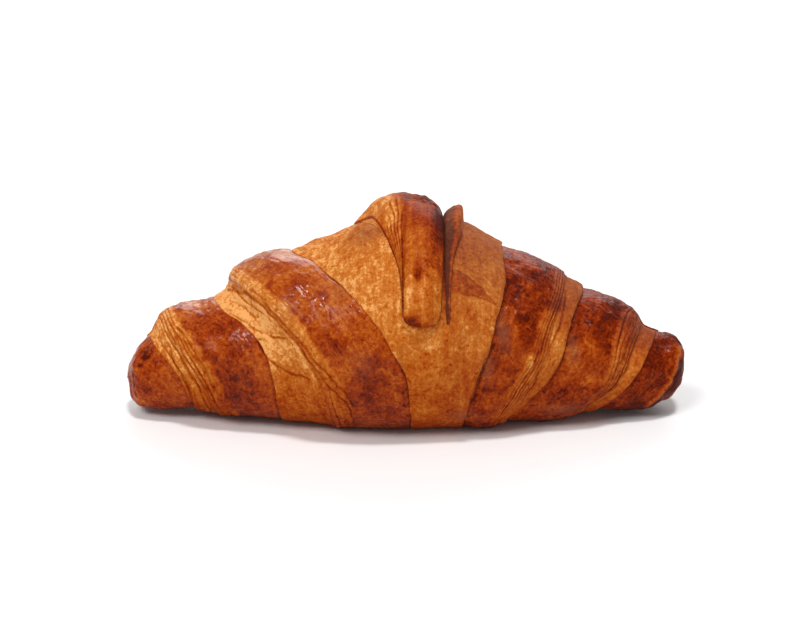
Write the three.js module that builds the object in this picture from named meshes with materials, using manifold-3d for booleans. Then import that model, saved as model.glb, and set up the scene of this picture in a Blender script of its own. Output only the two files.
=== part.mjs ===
// A baked croissant, one solid: a rolled body with three turns showing on each arm, the end of the strip
// lying over the middle as a tongue, a thin fold standing beside it, and a flat spot underneath to rest on.
// Millimetres. X runs along the croissant, the front with the tongue faces -Y, Z is up, the table is Z = 0.
import * as THREE from 'three';
import { mergeVertices } from 'three/addons/utils/BufferGeometryUtils.js';
import Module from 'manifold-3d';

// Overall size
const leftEnd = -80.3;
const rightEnd = 80.3;
const leftCapLength = 4.5;
const rightCapLength = 5.5;

// Height of the crown and of the underside along the length: [x, height]
const crownLine = [[-80.3, 15.5], [-75, 21.2], [-67, 27], [-56, 32.9], [-44, 40.1], [-33, 46.5], [-22, 49.5],
  [-11, 55], [0, 57.1], [11, 55.7], [22, 51], [33, 44.9], [44, 38.9], [56, 32.6], [67, 26.2], [75, 22.4],
  [80.3, 22.6]];
const underLine = [[-80.3, 1.9], [-67, 2], [-56, 1.8], [-44, 0.4], [-33, -0.6], [-22, -1.3], [-11, -2.1],
  [0, -2.6], [11, -2.4], [22, -1.3], [33, 0], [44, 1], [56, 1.6], [67, 1.5], [75, 3.7], [80.3, 6.4]];
const depthToHeight = 1.1;
const upperRoundness = 2.05;
const lowerRoundness = 2.5;

// Edges of the rolled strip: place along X at each turn. A whole turn is the top, a quarter more is the
// front, a half is underneath and three quarters is the back. Turn 0 is near the tip, turn 3 is the tongue.
const leftEdge = [[-1, -80], [-0.75, -79.5], [-0.5, -78.5], [-0.25, -76.5], [0, -73.9], [0.08, -72.4],
  [0.154, -70], [0.2, -67.2], [0.25, -64.2], [0.3, -61.6], [0.35, -59.9], [0.5, -58.8], [0.75, -57.2],
  [1, -55], [1.06, -53.3], [1.114, -50.2], [1.147, -46.6], [1.19, -42], [1.225, -39.3], [1.26, -37.3],
  [1.3, -36.2], [1.37, -35.3], [1.5, -35], [1.75, -34.3], [2, -31.6], [2.04, -28.2], [2.078, -24.2],
  [2.151, -15.9], [2.2, -9], [2.24, -4], [2.282, 0.2], [2.32, 0.9], [2.37, 1.6], [2.5, -4], [2.75, -15],
  [3, -12], [3.04, -7], [3.125, -2.4], [3.2, -0.8], [4.2, -0.8]];
const rightEdge = [[-1, 80], [-0.75, 79.4], [-0.5, 78], [-0.25, 75.5], [0, 72.2], [0.05, 71.4],
  [0.124, 69.8], [0.197, 67], [0.253, 64.5], [0.307, 60.8], [0.379, 55.2], [0.5, 53], [0.75, 51.5],
  [1, 50.2], [1.074, 48.7], [1.142, 46], [1.214, 43.6], [1.249, 41.9], [1.289, 38.4], [1.338, 32.1],
  [1.378, 28], [1.5, 27.2], [1.75, 27.3], [2, 27.5], [2.1, 27.2], [2.151, 26.3], [2.186, 24.6],
  [2.246, 21.9], [2.285, 19.1], [2.319, 17], [2.389, 15.9], [2.5, 15], [2.75, 12.5], [3, 10.8],
  [3.1, 10.4], [3.2, 9], [4.2, 9]];

// How far each turn bulges between its edges, by turn, and the form of that bulge from the edge nearer the
// middle (0) to the one nearer the tip (1), for the turns near the middle and for the outer ones
const leftBulge = [[-1, 0.5], [-0.4, 1.2], [0, 3], [0.25, 2.2], [0.38, 0.7], [0.5, 0.4], [0.7, 2.4], [1, 4],
  [1.25, 2.8], [1.38, 0.5], [1.5, 0.3], [1.7, 1.8], [1.85, 2], [2, 0.6], [2.12, 0], [4, 0]];
const rightBulge = [[-1, 0.3], [-0.4, 0.8], [0, 2.4], [0.25, 1.8], [0.6, 1.6], [1, 1.7], [1.25, 1.5],
  [1.5, 1.4], [1.8, 1.6], [2, 0.5], [2.12, 0], [4, 0]];
const leftInnerForm = [[0, 0], [0.08, 0.3], [0.2, 0.64], [0.35, 0.89], [0.5, 1], [0.62, 0.98], [0.72, 0.66],
  [0.78, 0.22], [0.84, -0.02], [0.9, -0.08], [1, -0.1]];
const leftOuterForm = [[0, 0], [0.2, 0.36], [0.35, 0.7], [0.5, 0.94], [0.6, 1], [0.7, 0.86], [0.8, 0.5],
  [0.88, 0.22], [0.95, 0], [1, -0.05]];
const rightInnerForm = [[0, -0.3], [0.12, 0.12], [0.25, 0.62], [0.4, 0.98], [0.55, 0.95], [0.72, 0.55],
  [0.85, 0.28], [1, 0.1]];
const rightOuterForm = [[0, 0], [0.15, 0.45], [0.3, 0.78], [0.45, 1], [0.58, 1], [0.67, 0.76], [0.76, 0.15],
  [0.83, -0.3], [0.92, -0.2], [1, -0.1]];

// The raised lip that each turn ends in, and the crease along every edge
const leftLip = [[-1, 0.2], [-0.1, 0.1], [0, 0.05], [0.12, 0.3], [0.3, 0.45], [0.8, 0.2], [1, 0.1],
  [1.2, 0.35], [1.6, 0.3], [1.9, 0.1], [2.05, 0.05], [2.2, 0.25], [2.4, 0.4], [3, 0], [4, 0]];
const rightLip = [[-1, 0.3], [-0.2, 0.3], [0, 0.15], [0.12, 0.5], [0.5, 0.7], [0.9, 0.8], [1, 0.6],
  [1.15, 0.9], [1.5, 0.8], [1.9, 0.7], [2, 0.45], [2.12, 0.8], [2.25, 0.8], [2.4, 0.5], [2.6, 0.6], [3, 0.3],
  [4, 0]];
const lipRise = [0.5, 0.97];
const creaseDepth = 0.8;
const creaseWidth = 1.4;
const lastCreasedTurn = 2.05;
const fullBulgeWidth = 14;
const formChange = [0.3, 0.7];

// The crust swells where it passes under the tongue's left side: place along X, turn, half width, half length
// round the body, height
const swelling = { x: -10.5, turn: 0.012, wide: 4.6, round: 7, rise: 1.6 };

// The cut end of an inner layer shows as a small step across each turn, which is lost in the middle length,
// and the underside is pressed smoother
const layerStart = 0.3;
const layerPlace = 0.73;
const layerStep = 0.7;
const layersFade = [1.9, 1.6];
const underFade = 0.75;
const underFrom = [0.43, 0.49];
const underTo = [0.63, 0.69];

// The tongue, by turn: its two edges along X and its thickness over the body
const tongueLeft = [[2.5, -5], [2.6, -11], [2.75, -14.8], [2.9, -15], [2.945, -14.7], [2.965, -13],
  [2.975, -11], [2.988, -9.2], [3.028, -7.1], [3.058, -5.8], [3.086, -4.4], [3.117, -2.7], [3.143, -1.7],
  [3.175, -1.1], [3.195, -0.9], [3.203, -0.5], [3.208, 0.5], [3.211, 2.4], [3.212, 4]];
const tongueRight = [[2.5, 13.5], [2.6, 13], [2.75, 12], [2.9, 11], [3, 10.7], [3.1, 10.4], [3.163, 9.9],
  [3.19, 9.6], [3.2, 9.1], [3.206, 8.3], [3.21, 6.8], [3.212, 5]];
const tongueThickness = [[2.5, 0.2], [2.58, 2.2], [2.7, 4.2], [2.85, 5.2], [2.95, 5.9], [3.05, 5.2],
  [3.12, 4.4], [3.17, 3.9], [3.195, 3.5], [3.206, 2.8], [3.212, 1.6]];
const tongueSection = [[-1, 0], [-0.85, 0.3], [-0.7, 0.54], [-0.5, 0.8], [-0.3, 0.95], [0, 1], [0.3, 0.97],
  [0.6, 0.86], [0.8, 0.68], [0.93, 0.36], [1, 0]];
const tongueRoot = 3;

// The fold beside the tongue
const foldLeft = [[-0.16, 11], [-0.05, 10.4], [0, 10.4], [0.08, 10.6], [0.15, 10.7], [0.205, 11]];
const foldRight = [[-0.16, 14.6], [-0.1, 17], [-0.05, 17.6], [0, 17.2], [0.03, 16.2], [0.06, 14.9],
  [0.083, 14.1], [0.114, 13], [0.149, 12.4], [0.19, 12], [0.205, 11.8]];
const foldThickness = [[-0.16, 0.3], [-0.1, 2.6], [-0.045, 4.9], [0, 4.2], [0.05, 2.4], [0.1, 1.4],
  [0.15, 1], [0.19, 0.8], [0.205, 0.4]];
const foldSection = [[-1, 0], [-0.85, 0.3], [-0.58, 0.66], [-0.3, 0.88], [0, 1], [0.18, 0.92], [0.35, 0.64],
  [0.5, 0.36], [0.7, 0.12], [1, 0]];
const foldRoot = 2;

// The table, which the underside is pressed flat against
const tableSize = [200, 100, 20];

// Colour of the crust
const crustColour = 0xa85c1e;
const crustRoughness = 0.55;

// Fineness of the surfaces
const evenRings = 86;
const edgeGap = 0.3;
const middleReach = 20;
const spokes = 54;
const tongueSteps = 40;
const foldSteps = 16;
const stripSteps = 8;
const stripGather = 1.15;
const leastEdge = 0.15;

// Smooth curve through the knots that doesn't overshoot them
function smoothCurve(knots, at) {
  const last = knots.length - 1;
  const t = Math.min(Math.max(at, knots[0][0]), knots[last][0]);
  let i = 0;
  while (i < last - 1 && t > knots[i + 1][0]) i += 1;
  const rise = (k) => (knots[k + 1][1] - knots[k][1]) / (knots[k + 1][0] - knots[k][0]);
  const slope = (k) => {
    if (k === 0) return rise(0);
    if (k === last) return rise(last - 1);
    const before = rise(k - 1);
    const after = rise(k);
    if (before * after <= 0) return 0;
    const h0 = knots[k][0] - knots[k - 1][0];
    const h1 = knots[k + 1][0] - knots[k][0];
    const w1 = 2 * h1 + h0;
    const w2 = h1 + 2 * h0;
    return (w1 + w2) / (w1 / before + w2 / after);
  };
  const h = knots[i + 1][0] - knots[i][0];
  const u = (t - knots[i][0]) / h;
  const a = (1 + 2 * u) * (1 - u) ** 2;
  const b = u * (1 - u) ** 2;
  const c = u * u * (3 - 2 * u);
  const d = u * u * (u - 1);
  return a * knots[i][1] + b * h * slope(i) + c * knots[i + 1][1] + d * h * slope(i + 1);
}

function smoothStep(from, to, at) {
  const t = Math.min(Math.max((at - from) / (to - from), 0), 1);
  return t * t * (3 - 2 * t);
}

// Share of the full section left in the rounded ends
function capShare(x) {
  const left = Math.max((leftEnd + leftCapLength - x) / leftCapLength, 0);
  const right = Math.max((x - rightEnd + rightCapLength) / rightCapLength, 0);
  return Math.sqrt(Math.max(1 - left * left, 0)) * Math.sqrt(Math.max(1 - right * right, 0));
}

// Point of the plain body at x and at an angle given in turns from the top towards the front
function bodyPoint(x, turn) {
  const angle = turn * 2 * Math.PI;
  const crown = smoothCurve(crownLine, x);
  const under = smoothCurve(underLine, x);
  const halfHeight = Math.max((crown - under) / 2 * capShare(x), 0.01);
  const halfDepth = halfHeight * depthToHeight;
  const up = Math.cos(angle);
  const front = Math.sin(angle);
  const n = up > 0 ? upperRoundness : lowerRoundness;
  const radius = ((Math.abs(front) / halfDepth) ** n + (Math.abs(up) / halfHeight) ** n) ** (-1 / n);
  return new THREE.Vector3(x, -front * radius, (crown + under) / 2 + up * radius);
}

function bodyNormal(x, turn) {
  const dx = 0.05;
  const dt = 0.001;
  const low = Math.max(x - dx, leftEnd + 0.01);
  const high = Math.min(x + dx, rightEnd - 0.01);
  const along = bodyPoint(high, turn).sub(bodyPoint(low, turn));
  const round = bodyPoint(x, turn + dt).sub(bodyPoint(x, turn - dt));
  return along.cross(round).normalize().negate();
}

// Height of the rolled turns over the plain body
function turnRelief(x, turn) {
  const wrapped = turn - Math.floor(turn);
  const left = x < 0;
  const edge = left ? leftEdge : rightEdge;
  const side = left ? -1 : 1;
  const sides = [[edge, side]];
  // the innermost edges cross the middle, so both arms are tried there
  if (Math.abs(x) < middleReach) sides.push([left ? rightEdge : leftEdge, -side]);
  for (const [line, away] of sides) {
    for (let k = -1; k <= 2; k += 1) {
      const outer = away * smoothCurve(line, wrapped + k);
      const inner = away * smoothCurve(line, wrapped + k + 1);
      if (away * x <= outer && away * x > inner) {
        const height = bandHeight((away * x - inner) / (outer - inner), wrapped + k, outer - inner, away);
        return height + swellingRise(x, wrapped);
      }
    }
  }
  return 0;
}

// An oval bump that falls off as e to the power of minus its squared distance
function swellingRise(x, turn) {
  const around = Math.PI * (1 + depthToHeight) * (smoothCurve(crownLine, swelling.x)
    - smoothCurve(underLine, swelling.x)) / 2;
  const offset = turn - swelling.turn;
  const across = (x - swelling.x) / swelling.wide;
  const along = (offset - Math.round(offset)) * around / swelling.round;
  return swelling.rise * Math.exp(-(across * across) - along * along);
}

function bandHeight(place, turn, width, away) {
  const under = turn - Math.floor(turn);
  const begun = smoothStep(underFrom[0], underFrom[1], under);
  const ended = smoothStep(underTo[0], underTo[1], under);
  return (1 - underFade * begun * (1 - ended)) * shownHeight(place, turn, width, away);
}

function shownHeight(place, turn, width, away) {
  const share = Math.min(width / fullBulgeWidth, 1);
  const crease = turn < lastCreasedTurn ? creaseDepth * Math.exp(-((place * width / creaseWidth) ** 2)) : 0;
  const layered = place < layerPlace ? smoothStep(layersFade[0], layersFade[1], turn) : 0;
  const layer = layered * layerStep * smoothStep(layerStart, layerPlace, place);
  const [bulges, inner, outer, lips] = away > 0
    ? [rightBulge, rightInnerForm, rightOuterForm, rightLip]
    : [leftBulge, leftInnerForm, leftOuterForm, leftLip];
  const mix = smoothStep(formChange[0], formChange[1], turn);
  const form = mix * smoothCurve(inner, place) + (1 - mix) * smoothCurve(outer, place);
  const lip = smoothCurve(lips, turn) * smoothStep(lipRise[0], lipRise[1], place);
  return share * (smoothCurve(bulges, turn) * form + layer) + lip - crease;
}

// The rings follow the strip's edges over the top, the front and the back, and shift back under the body.
// Each ring is named by its place on the crown, where the edges stand at the whole turns.
const underStart = 0.5;
const underEnd = 0.62;

function ringAt(place, turn) {
  if (turn <= underStart) return alongEdges(place, turn, turn);
  if (turn >= underEnd) return alongEdges(place, turn, turn - 1);
  const mix = smoothStep(underStart, underEnd, turn);
  const before = alongEdges(place, underStart, underStart);
  const after = alongEdges(place, underEnd, underEnd - 1);
  return (1 - mix) * before + mix * after;
}

function alongEdges(place, turn, firstTurn) {
  const knots = [[leftEnd, leftEnd]];
  for (const k of [0, 1, 2]) knots.push([smoothCurve(leftEdge, k), smoothCurve(leftEdge, firstTurn + k)]);
  const middle = [smoothCurve(leftEdge, 2) + smoothCurve(rightEdge, 2), knots[3][1]];
  middle[1] += smoothCurve(rightEdge, firstTurn + 2);
  knots.push([middle[0] / 2, middle[1] / 2]);
  for (const k of [2, 1, 0]) knots.push([smoothCurve(rightEdge, k), smoothCurve(rightEdge, firstTurn + k)]);
  knots.push([rightEnd, rightEnd]);
  // straight shares between the edges, so that a ring keeps its share of a band all the way round
  let i = 0;
  while (i < knots.length - 2 && place > knots[i + 1][0]) i += 1;
  const [from, to] = [knots[i], knots[i + 1]];
  return from[1] + (to[1] - from[1]) * (place - from[0]) / (to[0] - from[0]);
}

// Ring places: even along the outline, with one ring on each side of every edge
function ringPlaces(count) {
  const fine = 1200;
  const half = (rightEnd - leftEnd) / 2;
  const xs = [];
  const run = [];
  let before = null;
  for (let i = 0; i <= fine; i += 1) {
    const x = -half * Math.cos(Math.PI * i / fine);
    const radius = (smoothCurve(crownLine, x) - smoothCurve(underLine, x)) / 2 * capShare(x);
    const front = ringAt(x, 0.25);
    const stride = before ? Math.max(x - before[0], front - before[2]) : 0;
    run.push(before ? run[i - 1] + Math.hypot(stride, radius - before[1]) : 0);
    xs.push(x);
    before = [x, radius, front];
  }
  const edges = [0, 1, 2].flatMap((k) => [smoothCurve(leftEdge, k), smoothCurve(rightEdge, k)]);
  for (const k of [0, 1]) {
    for (const edge of [leftEdge, rightEdge]) {
      const inner = smoothCurve(edge, k + 1);
      edges.push(inner + (smoothCurve(edge, k) - inner) * layerPlace);
    }
  }
  const places = edges.flatMap((x) => [x - edgeGap, x + edgeGap]);
  let k = 0;
  for (let i = 0; i < count; i += 1) {
    const want = run[fine] * (i + 0.5) / count;
    while (run[k + 1] < want) k += 1;
    const x = xs[k] + (xs[k + 1] - xs[k]) * (want - run[k]) / (run[k + 1] - run[k]);
    if (edges.every((edge) => Math.abs(x - edge) > 3 * edgeGap)) places.push(x);
  }
  return places.sort((p, q) => p - q);
}

function bodyGeometry() {
  const places = ringPlaces(evenRings);
  const rings = places.length;
  const points = [];
  const faces = [];
  for (const place of places) {
    for (let j = 0; j < spokes; j += 1) {
      const turn = j / spokes;
      const x = ringAt(place, turn);
      const p = bodyPoint(x, turn).addScaledVector(bodyNormal(x, turn), turnRelief(x, turn));
      points.push(p.x, p.y, p.z);
    }
  }
  for (let i = 0; i < rings - 1; i += 1) {
    for (let j = 0; j < spokes; j += 1) {
      const a = i * spokes + j;
      const b = i * spokes + (j + 1) % spokes;
      faces.push(a, b, a + spokes, b, b + spokes, a + spokes);
    }
  }
  const ends = [[0, leftEnd], [(rings - 1) * spokes, rightEnd]];
  for (const [first, x] of ends) {
    const middle = (smoothCurve(crownLine, x) + smoothCurve(underLine, x)) / 2;
    const pole = points.push(x, 0, middle) / 3 - 1;
    for (let j = 0; j < spokes; j += 1) {
      const a = first + j;
      const b = first + (j + 1) % spokes;
      faces.push(...(x < 0 ? [a, pole, b] : [a, b, pole]));
    }
  }
  return solidGeometry(points, faces);
}

// A strip lying on the body: a top whose section runs from edge to edge, and a foot sunk into the body
function stripGeometry(left, right, thickness, section, steps, foot) {
  const from = left[0][0];
  const to = left[left.length - 1][0];
  const points = [];
  const faces = [];
  const loop = 2 * (stripSteps + 1);
  for (let i = 0; i <= steps; i += 1) {
    // the stations draw together towards the rounded end
    const turn = from + (to - from) * Math.sin(Math.PI / 2 * i / steps) ** stripGather;
    const a = smoothCurve(left, turn);
    const b = smoothCurve(right, turn);
    const thick = smoothCurve(thickness, turn);
    for (let j = 0; j < loop; j += 1) {
      const upper = j <= stripSteps;
      const across = upper ? j / stripSteps : 1 - (j - stripSteps - 1) / stripSteps;
      const out = 2 * across - 1;
      const side = Math.sin(out * Math.PI / 2);
      const x = (a + b) / 2 + (b - a) / 2 * side;
      const rise = Math.max(thick * smoothCurve(section, side), leastEdge) + swellingRise(x, turn);
      const height = upper ? rise : -foot;
      const p = bodyPoint(x, turn).addScaledVector(bodyNormal(x, turn), height);
      points.push(p.x, p.y, p.z);
    }
  }
  for (let i = 0; i < steps; i += 1) {
    for (let j = 0; j < loop; j += 1) {
      const a = i * loop + j;
      const b = i * loop + (j + 1) % loop;
      faces.push(a, a + loop, b, b, a + loop, b + loop);
    }
  }
  for (const [first, forward] of [[0, true], [steps * loop, false]]) {
    for (let j = 0; j < stripSteps; j += 1) {
      const a = first + j;
      const b = first + j + 1;
      const c = first + loop - 2 - j;
      const d = first + loop - 1 - j;
      faces.push(...(forward ? [a, b, d, b, c, d] : [a, d, b, b, d, c]));
    }
  }
  return solidGeometry(points, faces);
}

// Closed surface from points and triangles
function solidGeometry(points, faces) {
  const geometry = new THREE.BufferGeometry();
  geometry.setAttribute('position', new THREE.Float32BufferAttribute(points, 3));
  geometry.setIndex(faces);
  return mergeVertices(geometry, 1e-5);
}

const wasm = await Module();
wasm.setup();

function toSolid(geometry) {
  return new wasm.Manifold(new wasm.Mesh({
    numProp: 3,
    vertProperties: new Float32Array(geometry.attributes.position.array),
    triVerts: new Uint32Array(geometry.index.array),
  }));
}

function toGeometry(solid) {
  const mesh = solid.getMesh();
  const geometry = new THREE.BufferGeometry();
  geometry.setAttribute('position', new THREE.Float32BufferAttribute(mesh.vertProperties, mesh.numProp));
  geometry.setIndex(Array.from(mesh.triVerts));
  geometry.computeVertexNormals();
  return geometry;
}

// Everything under the table level is taken off, which leaves the flat spot
const tableBlock = toSolid(mergeVertices(
  new THREE.BoxGeometry(...tableSize).translate(0, 0, -tableSize[2] / 2).deleteAttribute('normal')
    .deleteAttribute('uv')));

const tongue = stripGeometry(tongueLeft, tongueRight, tongueThickness, tongueSection, tongueSteps, tongueRoot);
const fold = stripGeometry(foldLeft, foldRight, foldThickness, foldSection, foldSteps, foldRoot);
const whole = toSolid(bodyGeometry()).add(toSolid(tongue)).add(toSolid(fold)).subtract(tableBlock);

// The middle of the outline goes to the origin
const extent = whole.boundingBox();
const centred = whole.translate([
  -(extent.min[0] + extent.max[0]) / 2,
  -(extent.min[1] + extent.max[1]) / 2,
  0,
]);

const crust = new THREE.MeshStandardMaterial({ color: crustColour, roughness: crustRoughness, metalness: 0 });
const croissant = new THREE.Mesh(toGeometry(centred), crust);
croissant.name = 'croissant';

const part = new THREE.Group();
part.add(croissant);
export default part;
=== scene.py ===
# A baked croissant: rolled crust in three lengths, the tongue folded over them and the thin fold beside it.
# Lengths are in millimetres until a mesh is made. A place on the roll is (x, turn): turn counts rounds of the
# strip, whole at the top, +1/4 at the front, +1/2 underneath, +3/4 at the back. Turn 0 is near a tip, turn 3
# is the tongue.
import math
import bpy
import numpy as np
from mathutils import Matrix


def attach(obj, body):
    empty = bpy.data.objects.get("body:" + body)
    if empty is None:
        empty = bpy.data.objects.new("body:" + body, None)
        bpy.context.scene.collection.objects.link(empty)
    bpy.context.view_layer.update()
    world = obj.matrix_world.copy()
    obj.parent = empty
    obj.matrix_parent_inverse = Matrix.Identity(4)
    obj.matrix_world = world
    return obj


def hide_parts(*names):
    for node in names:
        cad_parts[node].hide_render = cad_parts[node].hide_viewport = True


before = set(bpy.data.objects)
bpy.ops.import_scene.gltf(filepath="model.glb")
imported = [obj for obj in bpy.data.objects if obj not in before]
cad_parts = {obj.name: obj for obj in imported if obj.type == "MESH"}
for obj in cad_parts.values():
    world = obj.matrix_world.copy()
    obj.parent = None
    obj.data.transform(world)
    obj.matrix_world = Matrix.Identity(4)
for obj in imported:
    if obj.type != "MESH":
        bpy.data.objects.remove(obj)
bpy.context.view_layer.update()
print("frame loaded")

roll = {
    "leftEnd": -80.3,
    "rightEnd": 80.3,
    "leftCap": 4.5,
    "rightCap": 5.5,
    # height of the crown and of the underside along x
    "crown": [(-80.3, 15.5), (-75, 21.2), (-67, 27), (-56, 32.9), (-44, 40.1), (-33, 46.5), (-22, 49.5),
              (-11, 55), (0, 57.1), (11, 55.7), (22, 51), (33, 44.9), (44, 38.9), (56, 32.6), (67, 26.2),
              (75, 22.4), (80.3, 22.6)],
    "under": [(-80.3, 1.9), (-67, 2), (-56, 1.8), (-44, 0.4), (-33, -0.6), (-22, -1.3), (-11, -2.1),
              (0, -2.6), (11, -2.4), (22, -1.3), (33, 0), (44, 1), (56, 1.6), (67, 1.5), (75, 3.7),
              (80.3, 6.4)],
    "depthToHeight": 1.1,
    "upperRoundness": 2.05,
    "lowerRoundness": 2.5,
    "setBack": -1.683,         # the solid's outline is centred on the origin
    "contactSoftness": 0.5,    # how gently the underside flattens on the table
    "tipFade": 6.0,            # the edges stop straying this close to the tips
    "underStart": 0.5,
    "underEnd": 0.62,
    "wander": 0.45,            # how far the edges stray from their smooth course
    "wanderSpan": 11.0,
}

# place of the strip's two edges along x, by turn
leftEdge = [(-1, -80.4), (-0.75, -79.5), (-0.5, -78.5), (-0.25, -76.5), (0, -73.9), (0.08, -72.4),
            (0.154, -70), (0.2, -67.2), (0.25, -64.2), (0.3, -61.6), (0.35, -59.9), (0.5, -58.8),
            (0.75, -57.2), (1, -55), (1.06, -53.3), (1.114, -50.2), (1.147, -46.6), (1.19, -42),
            (1.225, -39.3), (1.26, -37.3), (1.3, -36.2), (1.37, -35.3), (1.5, -35), (1.75, -34.3),
            (2, -31.6), (2.04, -28.2), (2.078, -24.2), (2.151, -15.9), (2.2, -9), (2.24, -4), (2.282, 0.2),
            (2.32, 0.9), (2.37, 1.6), (2.5, -4), (2.75, -15), (3, -12), (3.04, -7), (3.125, -2.4),
            (3.2, -0.8), (4.2, -0.8)]
rightEdge = [(-1, 80.4), (-0.75, 79.4), (-0.5, 78), (-0.25, 75.5), (0, 72.2), (0.05, 71.4), (0.124, 69.8),
             (0.197, 67), (0.253, 64.5), (0.307, 60.8), (0.379, 55.2), (0.5, 53), (0.75, 51.5), (1, 50.2),
             (1.074, 48.7), (1.142, 46), (1.214, 43.6), (1.249, 41.9), (1.289, 38.4), (1.338, 32.1),
             (1.378, 28), (1.5, 27.2), (1.75, 27.3), (2, 27.5), (2.1, 27.2), (2.151, 26.3), (2.186, 24.6),
             (2.246, 21.9), (2.285, 19.1), (2.319, 17), (2.389, 15.9), (2.5, 15), (2.75, 12.5), (3, 10.8),
             (3.1, 10.4), (3.2, 9), (4.2, 9)]

# what each arm's bands are like, by turn; share runs across a band from its inner edge (0) to its outer (1)
leftBand = {
    "edge": leftEdge,
    "side": -1,
    "seed": 11,
    "bulge": [(-1, 0.5), (-0.4, 1.2), (0, 3), (0.25, 2.2), (0.38, 0.7), (0.5, 0.4), (0.7, 2.4), (1, 4),
              (1.25, 2.8), (1.38, 0.5), (1.5, 0.3), (1.7, 1.8), (1.85, 2), (2, 0.6), (2.12, 0), (4, 0)],
    "form": [(0, 0), (0.08, 0.3), (0.2, 0.64), (0.35, 0.89), (0.5, 1), (0.62, 0.98), (0.72, 0.66),
             (0.78, 0.22), (0.84, -0.02), (0.9, -0.08), (1, -0.1)],
    "tipForm": [(0, 0), (0.2, 0.36), (0.35, 0.7), (0.5, 0.94), (0.6, 1), (0.7, 0.86), (0.8, 0.5),
                (0.88, 0.22), (0.95, 0), (1, -0.05)],
    "lip": [(-1, 0.2), (-0.1, 0.1), (0, 0.05), (0.12, 0.3), (0.3, 0.45), (0.8, 0.2), (1, 0.1), (1.2, 0.35),
            (1.6, 0.3), (1.9, 0.1), (2.05, 0.05), (2.2, 0.25), (2.4, 0.4), (3, 0), (4, 0)],
    "glazeEnd": [(-1, 1.3), (-0.5, 1.3), (-0.2, 1.15), (0, 0.55), (0.25, 0.56), (0.45, 0.48), (0.75, 0.5),
                 (1, 0.62), (1.11, 0.59), (1.2, 0.55), (1.25, 0.5), (1.3, 0.44), (1.4, 0.43), (1.6, 0.5),
                 (2, 0.55)],
    "layer": [(-1, 1.6), (-0.5, 1.6), (-0.2, 1.4), (0, 0.7), (0.25, 0.77), (0.6, 0.75), (1, 0.76),
              (1.1, 0.74), (1.2, 0.69), (1.3, 0.61), (1.4, 0.58), (1.6, 0.65), (2, 0.73)],
    "layerStep": 0.8,
    "lineCount": 3,
    # lines past the main one, how glazed the layered part is, and how high its layers stand
    "linesBeyond": [(-1, 0), (-0.1, 2.6), (0.5, 2.6), (0.9, 1.2), (1.1, 1.2), (1.2, 0.4), (2, 0)],
    "layerGlaze": [(-1, 0.4), (0, 0.12), (0.4, 0.2), (0.9, 0.3), (1.1, 0.3), (2, 0.4)],
    "layerHeight": [(-1, 0.2), (0, 0.25), (0.15, 0.8), (0.36, 0.5), (0.6, 0.4), (0.9, 0.35), (1.3, 0.35),
                    (2, 0.3)],
    # how much deeper or paler the crust is, band by band, by turn
    "baked": [(-1, -0.05), (-0.6, -0.05), (-0.2, 0), (0, -0.05), (0.08, -0.02), (0.16, 0.04), (0.3, 0.04),
              (0.9, 0), (0.98, -0.1), (1.1, -0.1), (1.2, -0.06), (1.3, 0.03), (1.42, 0.04), (1.6, 0),
              (2, 0), (4, 0)],
}
rightBand = {
    "edge": rightEdge,
    "side": 1,
    "seed": 41,
    "bulge": [(-1, 0.3), (-0.4, 0.8), (0, 2.4), (0.25, 1.8), (0.6, 1.6), (1, 1.7), (1.25, 1.5), (1.5, 1.4),
              (1.8, 1.6), (2, 0.5), (2.12, 0), (4, 0)],
    "form": [(0, -0.3), (0.12, 0.12), (0.25, 0.62), (0.4, 0.98), (0.55, 0.95), (0.72, 0.55), (0.85, 0.28),
             (1, 0.1)],
    "tipForm": [(0, 0), (0.15, 0.45), (0.3, 0.78), (0.45, 1), (0.58, 1), (0.67, 0.76), (0.76, 0.15),
                (0.83, -0.3), (0.92, -0.2), (1, -0.1)],
    "lip": [(-1, 0.3), (-0.2, 0.3), (0, 0.15), (0.12, 0.5), (0.5, 0.7), (0.9, 0.8), (1, 0.6), (1.15, 0.9),
            (1.5, 0.8), (1.9, 0.5), (2, 0.2), (2.12, 0.7), (2.25, 0.8), (2.4, 0.5), (2.6, 0.6), (3, 0.3),
            (4, 0)],
    "glazeEnd": [(-1, 1.3), (-0.5, 1.3), (-0.2, 1.1), (0, 0.6), (0.1, 0.5), (0.25, 0.62), (0.35, 0.72),
                 (0.6, 0.66), (1, 0.64), (1.1, 0.61), (1.17, 0.58), (1.22, 0.56), (1.26, 0.53), (1.32, 0.55),
                 (1.4, 0.6), (1.6, 0.62), (2, 0.6)],
    "layer": [(-1, 1.6), (-0.5, 1.6), (-0.2, 1.4), (0, 0.72), (0.1, 0.76), (0.16, 0.76), (0.22, 0.8),
              (0.35, 0.84), (0.6, 0.8), (1, 0.76), (1.1, 0.76), (1.2, 0.75), (1.26, 0.74), (1.32, 0.76),
              (1.4, 0.78), (2, 0.73)],
    "layerStep": 0.8,
    "lineCount": 4,
    "linesBeyond": [(-1, 0), (-0.1, 0.4), (0.5, 0.4), (0.9, 1.6), (1.4, 1.6), (2, 0)],
    "layerGlaze": [(-1, 0.5), (0, 0.5), (0.4, 0.5), (0.9, 0.35), (2, 0.35)],
    "layerHeight": [(-1, 0.1), (0, 0.22), (0.6, 0.2), (1, 0.25), (2, 0.2)],
    "baked": [(-1, 0.07), (-0.4, 0.07), (-0.1, 0.12), (0.12, 0.12), (0.22, -0.05), (0.45, -0.06), (0.9, 0.12),
              (1.12, 0.1), (1.2, -0.03), (1.32, -0.06), (1.5, 0), (2, 0), (4, 0)],
}
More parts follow.
